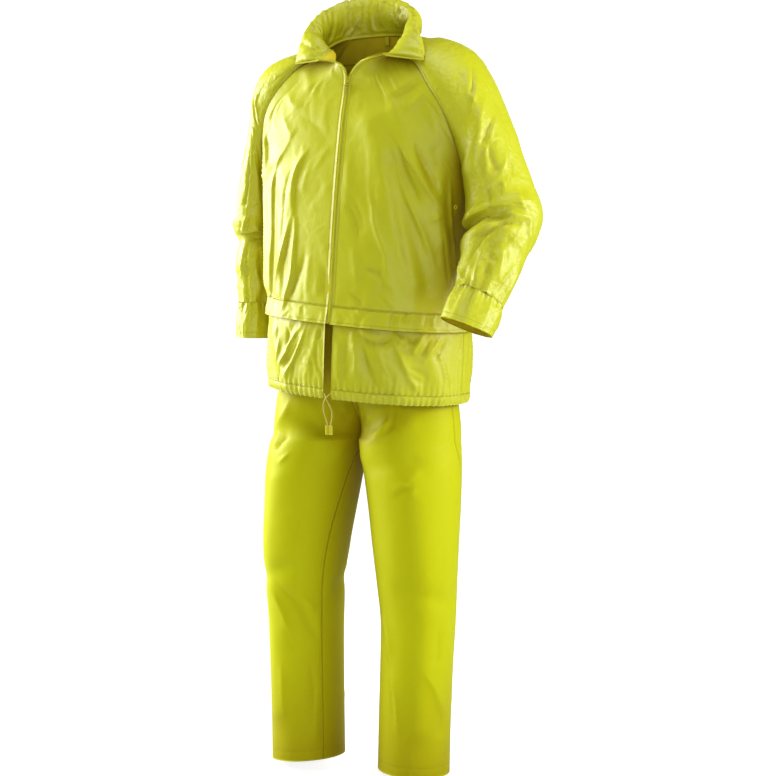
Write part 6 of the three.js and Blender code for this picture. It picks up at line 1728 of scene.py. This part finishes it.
neck_line = neck(np.linspace(0, NECK_LAST, BINDING_ROWS))
neck_middle = neck_line.mean(0)
neck_line = neck_line + unit((neck_middle - neck_line) * [1, 1, 0]) * 0.0008 + np.array([0, 0, 0.0002])
binding = mesh_piece("neck_binding", tube(neck_line, BINDING_ACROSS, BINDING_SIDES),
                     grid_faces(BINDING_ROWS, BINDING_SIDES, closed=True), [smooth_nylon])
tape_lines = []
for raglan in (sleeve_right.back, sleeve_left.back):
    line = raglan(np.linspace(0, ARMPIT_RIB, TAPE_ROWS))
    tape_lines.append(line - unit(line * [1, 1, 0]) * SEAM_TAPE_DEEP)
for rise in ("front_y", "back_y"):
    z = np.linspace(CROTCH, SEAT_TAPE_TOP, TAPE_ROWS)
    y = rise_at[rise](z)
    tape_lines.append(np.stack([0 * z, y - np.sign(y) * SEAM_TAPE_DEEP, z], -1))
tape_points = [tube(line, SEAM_TAPE_ACROSS, TAPE_SIDES).reshape(-1, 3) for line in tape_lines]
tape_faces = [
    grid_faces(TAPE_ROWS, TAPE_SIDES, number * TAPE_ROWS * TAPE_SIDES, closed=True)
    for number in range(len(tape_lines))
]
tape_points, tape_faces = np.concatenate(tape_points), np.concatenate(tape_faces)
seam_tapes = mesh_piece("seam_tapes", tape_points, tape_faces, [inside_nylon])


# Zip: two tapes of woven polyester with moulded teeth, closed up to the slider and opened out above it. The
# guard strip lies behind. Slider and pull tab are painted metal, the bottom stop is moulded.
TAPE_COLOUR = (0.56, 0.56, 0.01, 1)
METAL_COLOUR = (0.60, 0.56, 0.05, 1)
TOOTH_PITCH = 0.0029
TOOTH = (0.0046, 0.0017, 0.0022)  # across, along, out
TEETH_DOWN = -0.0006
TEETH_PROUD = 0.0026
TEETH_COLOUR = (0.74, 0.75, 0.03, 1)
TAPE_ROUGH = 0.75
METAL_ROUGH = 0.35
METAL_SHARE = 0.35
TEETH_ROUGH = 0.35
ZIP_BOTTOM = 0.93
ZIP_TOP_GAP = 0.006
ZIP_LINE_POINTS = 300
tape_material, tape_shader = finish("zip_tape", TAPE_COLOUR, TAPE_ROUGH)
woven(tape_material, tape_shader, scale=300, distortion=0.4, strength=0.4, depth=0.0002)
slider_metal, slider_shader = finish("slider_metal", METAL_COLOUR, METAL_ROUGH)
slider_shader.inputs["Metallic"].default_value = METAL_SHARE
for node, material in (
    ("zip_tape_right", tape_material),
    ("zip_tape_left", tape_material),
    ("zip_guard", smooth_nylon),
    ("hanging_loop", smooth_nylon),
    ("zip_stop", moulded),
    ("zip_slider", slider_metal),
    ("zip_pull_tab", slider_metal),
    ("vent_eyelet_right", moulded),
    ("vent_eyelet_left", moulded),
):
    bpy.data.objects[node].data.materials.clear()
    bpy.data.objects[node].data.materials.append(material)

tooth_material, _ = finish("moulded_teeth", TEETH_COLOUR, TEETH_ROUGH)
closed_heights = np.linspace(ZIP_BOTTOM, ZIP_OPEN - ZIP_TOP_GAP, ZIP_LINE_POINTS)
closed_turns = front_turn(np.full(ZIP_LINE_POINTS, ZIP_X), closed_heights)
closed_line = body(closed_turns, closed_heights, -TEETH_DOWN)
closed_outs = body_normal(closed_turns, closed_heights)


def smoothed(directions):
    """Directions along a line, each averaged with the six on either side."""
    kernel = np.ones(13) / 13
    padded = [np.pad(directions[:, k], 6, mode="edge") for k in range(3)]
    return unit(np.array([np.convolve(values, kernel, "valid") for values in padded]).T)


tooth_places, tooth_runs, tooth_outs = [], [], []
closed_run = np.gradient(closed_line, axis=0)
for side in (-1, 1):
    places, outs, runs = spaced_along(closed_line, TOOTH_PITCH, closed_outs, closed_run)
    across = unit(np.cross(outs, runs))
    places = places + side * across * TOOTH[0] * 0.24 + unit(runs) * TOOTH_PITCH * 0.25 * side
    tooth_places.append(places)
    tooth_runs.append(across)
    tooth_outs.append(outs)
    opened_grid, opened_outs = outer_faces["front_right" if side < 0 else "front_left"]
    over = front_rows > SLIDER_ROW + 0.25
    edge_line, beyond = opened_grid[over, 0], opened_grid[over, 0] - opened_grid[over, 3]
    wing_s = np.linspace(0.02, 0.97, 40)[:, None]
    wing_at = np.array([0.0 if side < 0 else NECK_LAST])
    wing_base, wing_top, wing_in = collar_sections(wing_at)
    wing_line = wing_base + (wing_top - wing_base) * wing_s
    wing_near = collar_sections(np.array([0.3 if side < 0 else NECK_LAST - 0.3]))
    wing_beyond = unit((wing_base + wing_top) - (wing_near[0] + wing_near[1])) + 0 * wing_s
    line = np.concatenate([edge_line, wing_line])
    push = np.concatenate([unit(beyond), wing_beyond])
    outs = np.concatenate([opened_outs[over, 0], unit(-wing_in + 0 * wing_s)])
    outs, push = smoothed(outs), smoothed(push)
    line = line + push * TEETH_PROUD - outs * TEETH_DOWN
    places, outs, push = spaced_along(line, TOOTH_PITCH, outs, push)
    tooth_places.append(places)
    tooth_runs.append(push)
    tooth_outs.append(outs)
bars("zip_teeth", np.concatenate(tooth_places), np.concatenate(tooth_runs), np.concatenate(tooth_outs),
     TOOTH, [tooth_material])
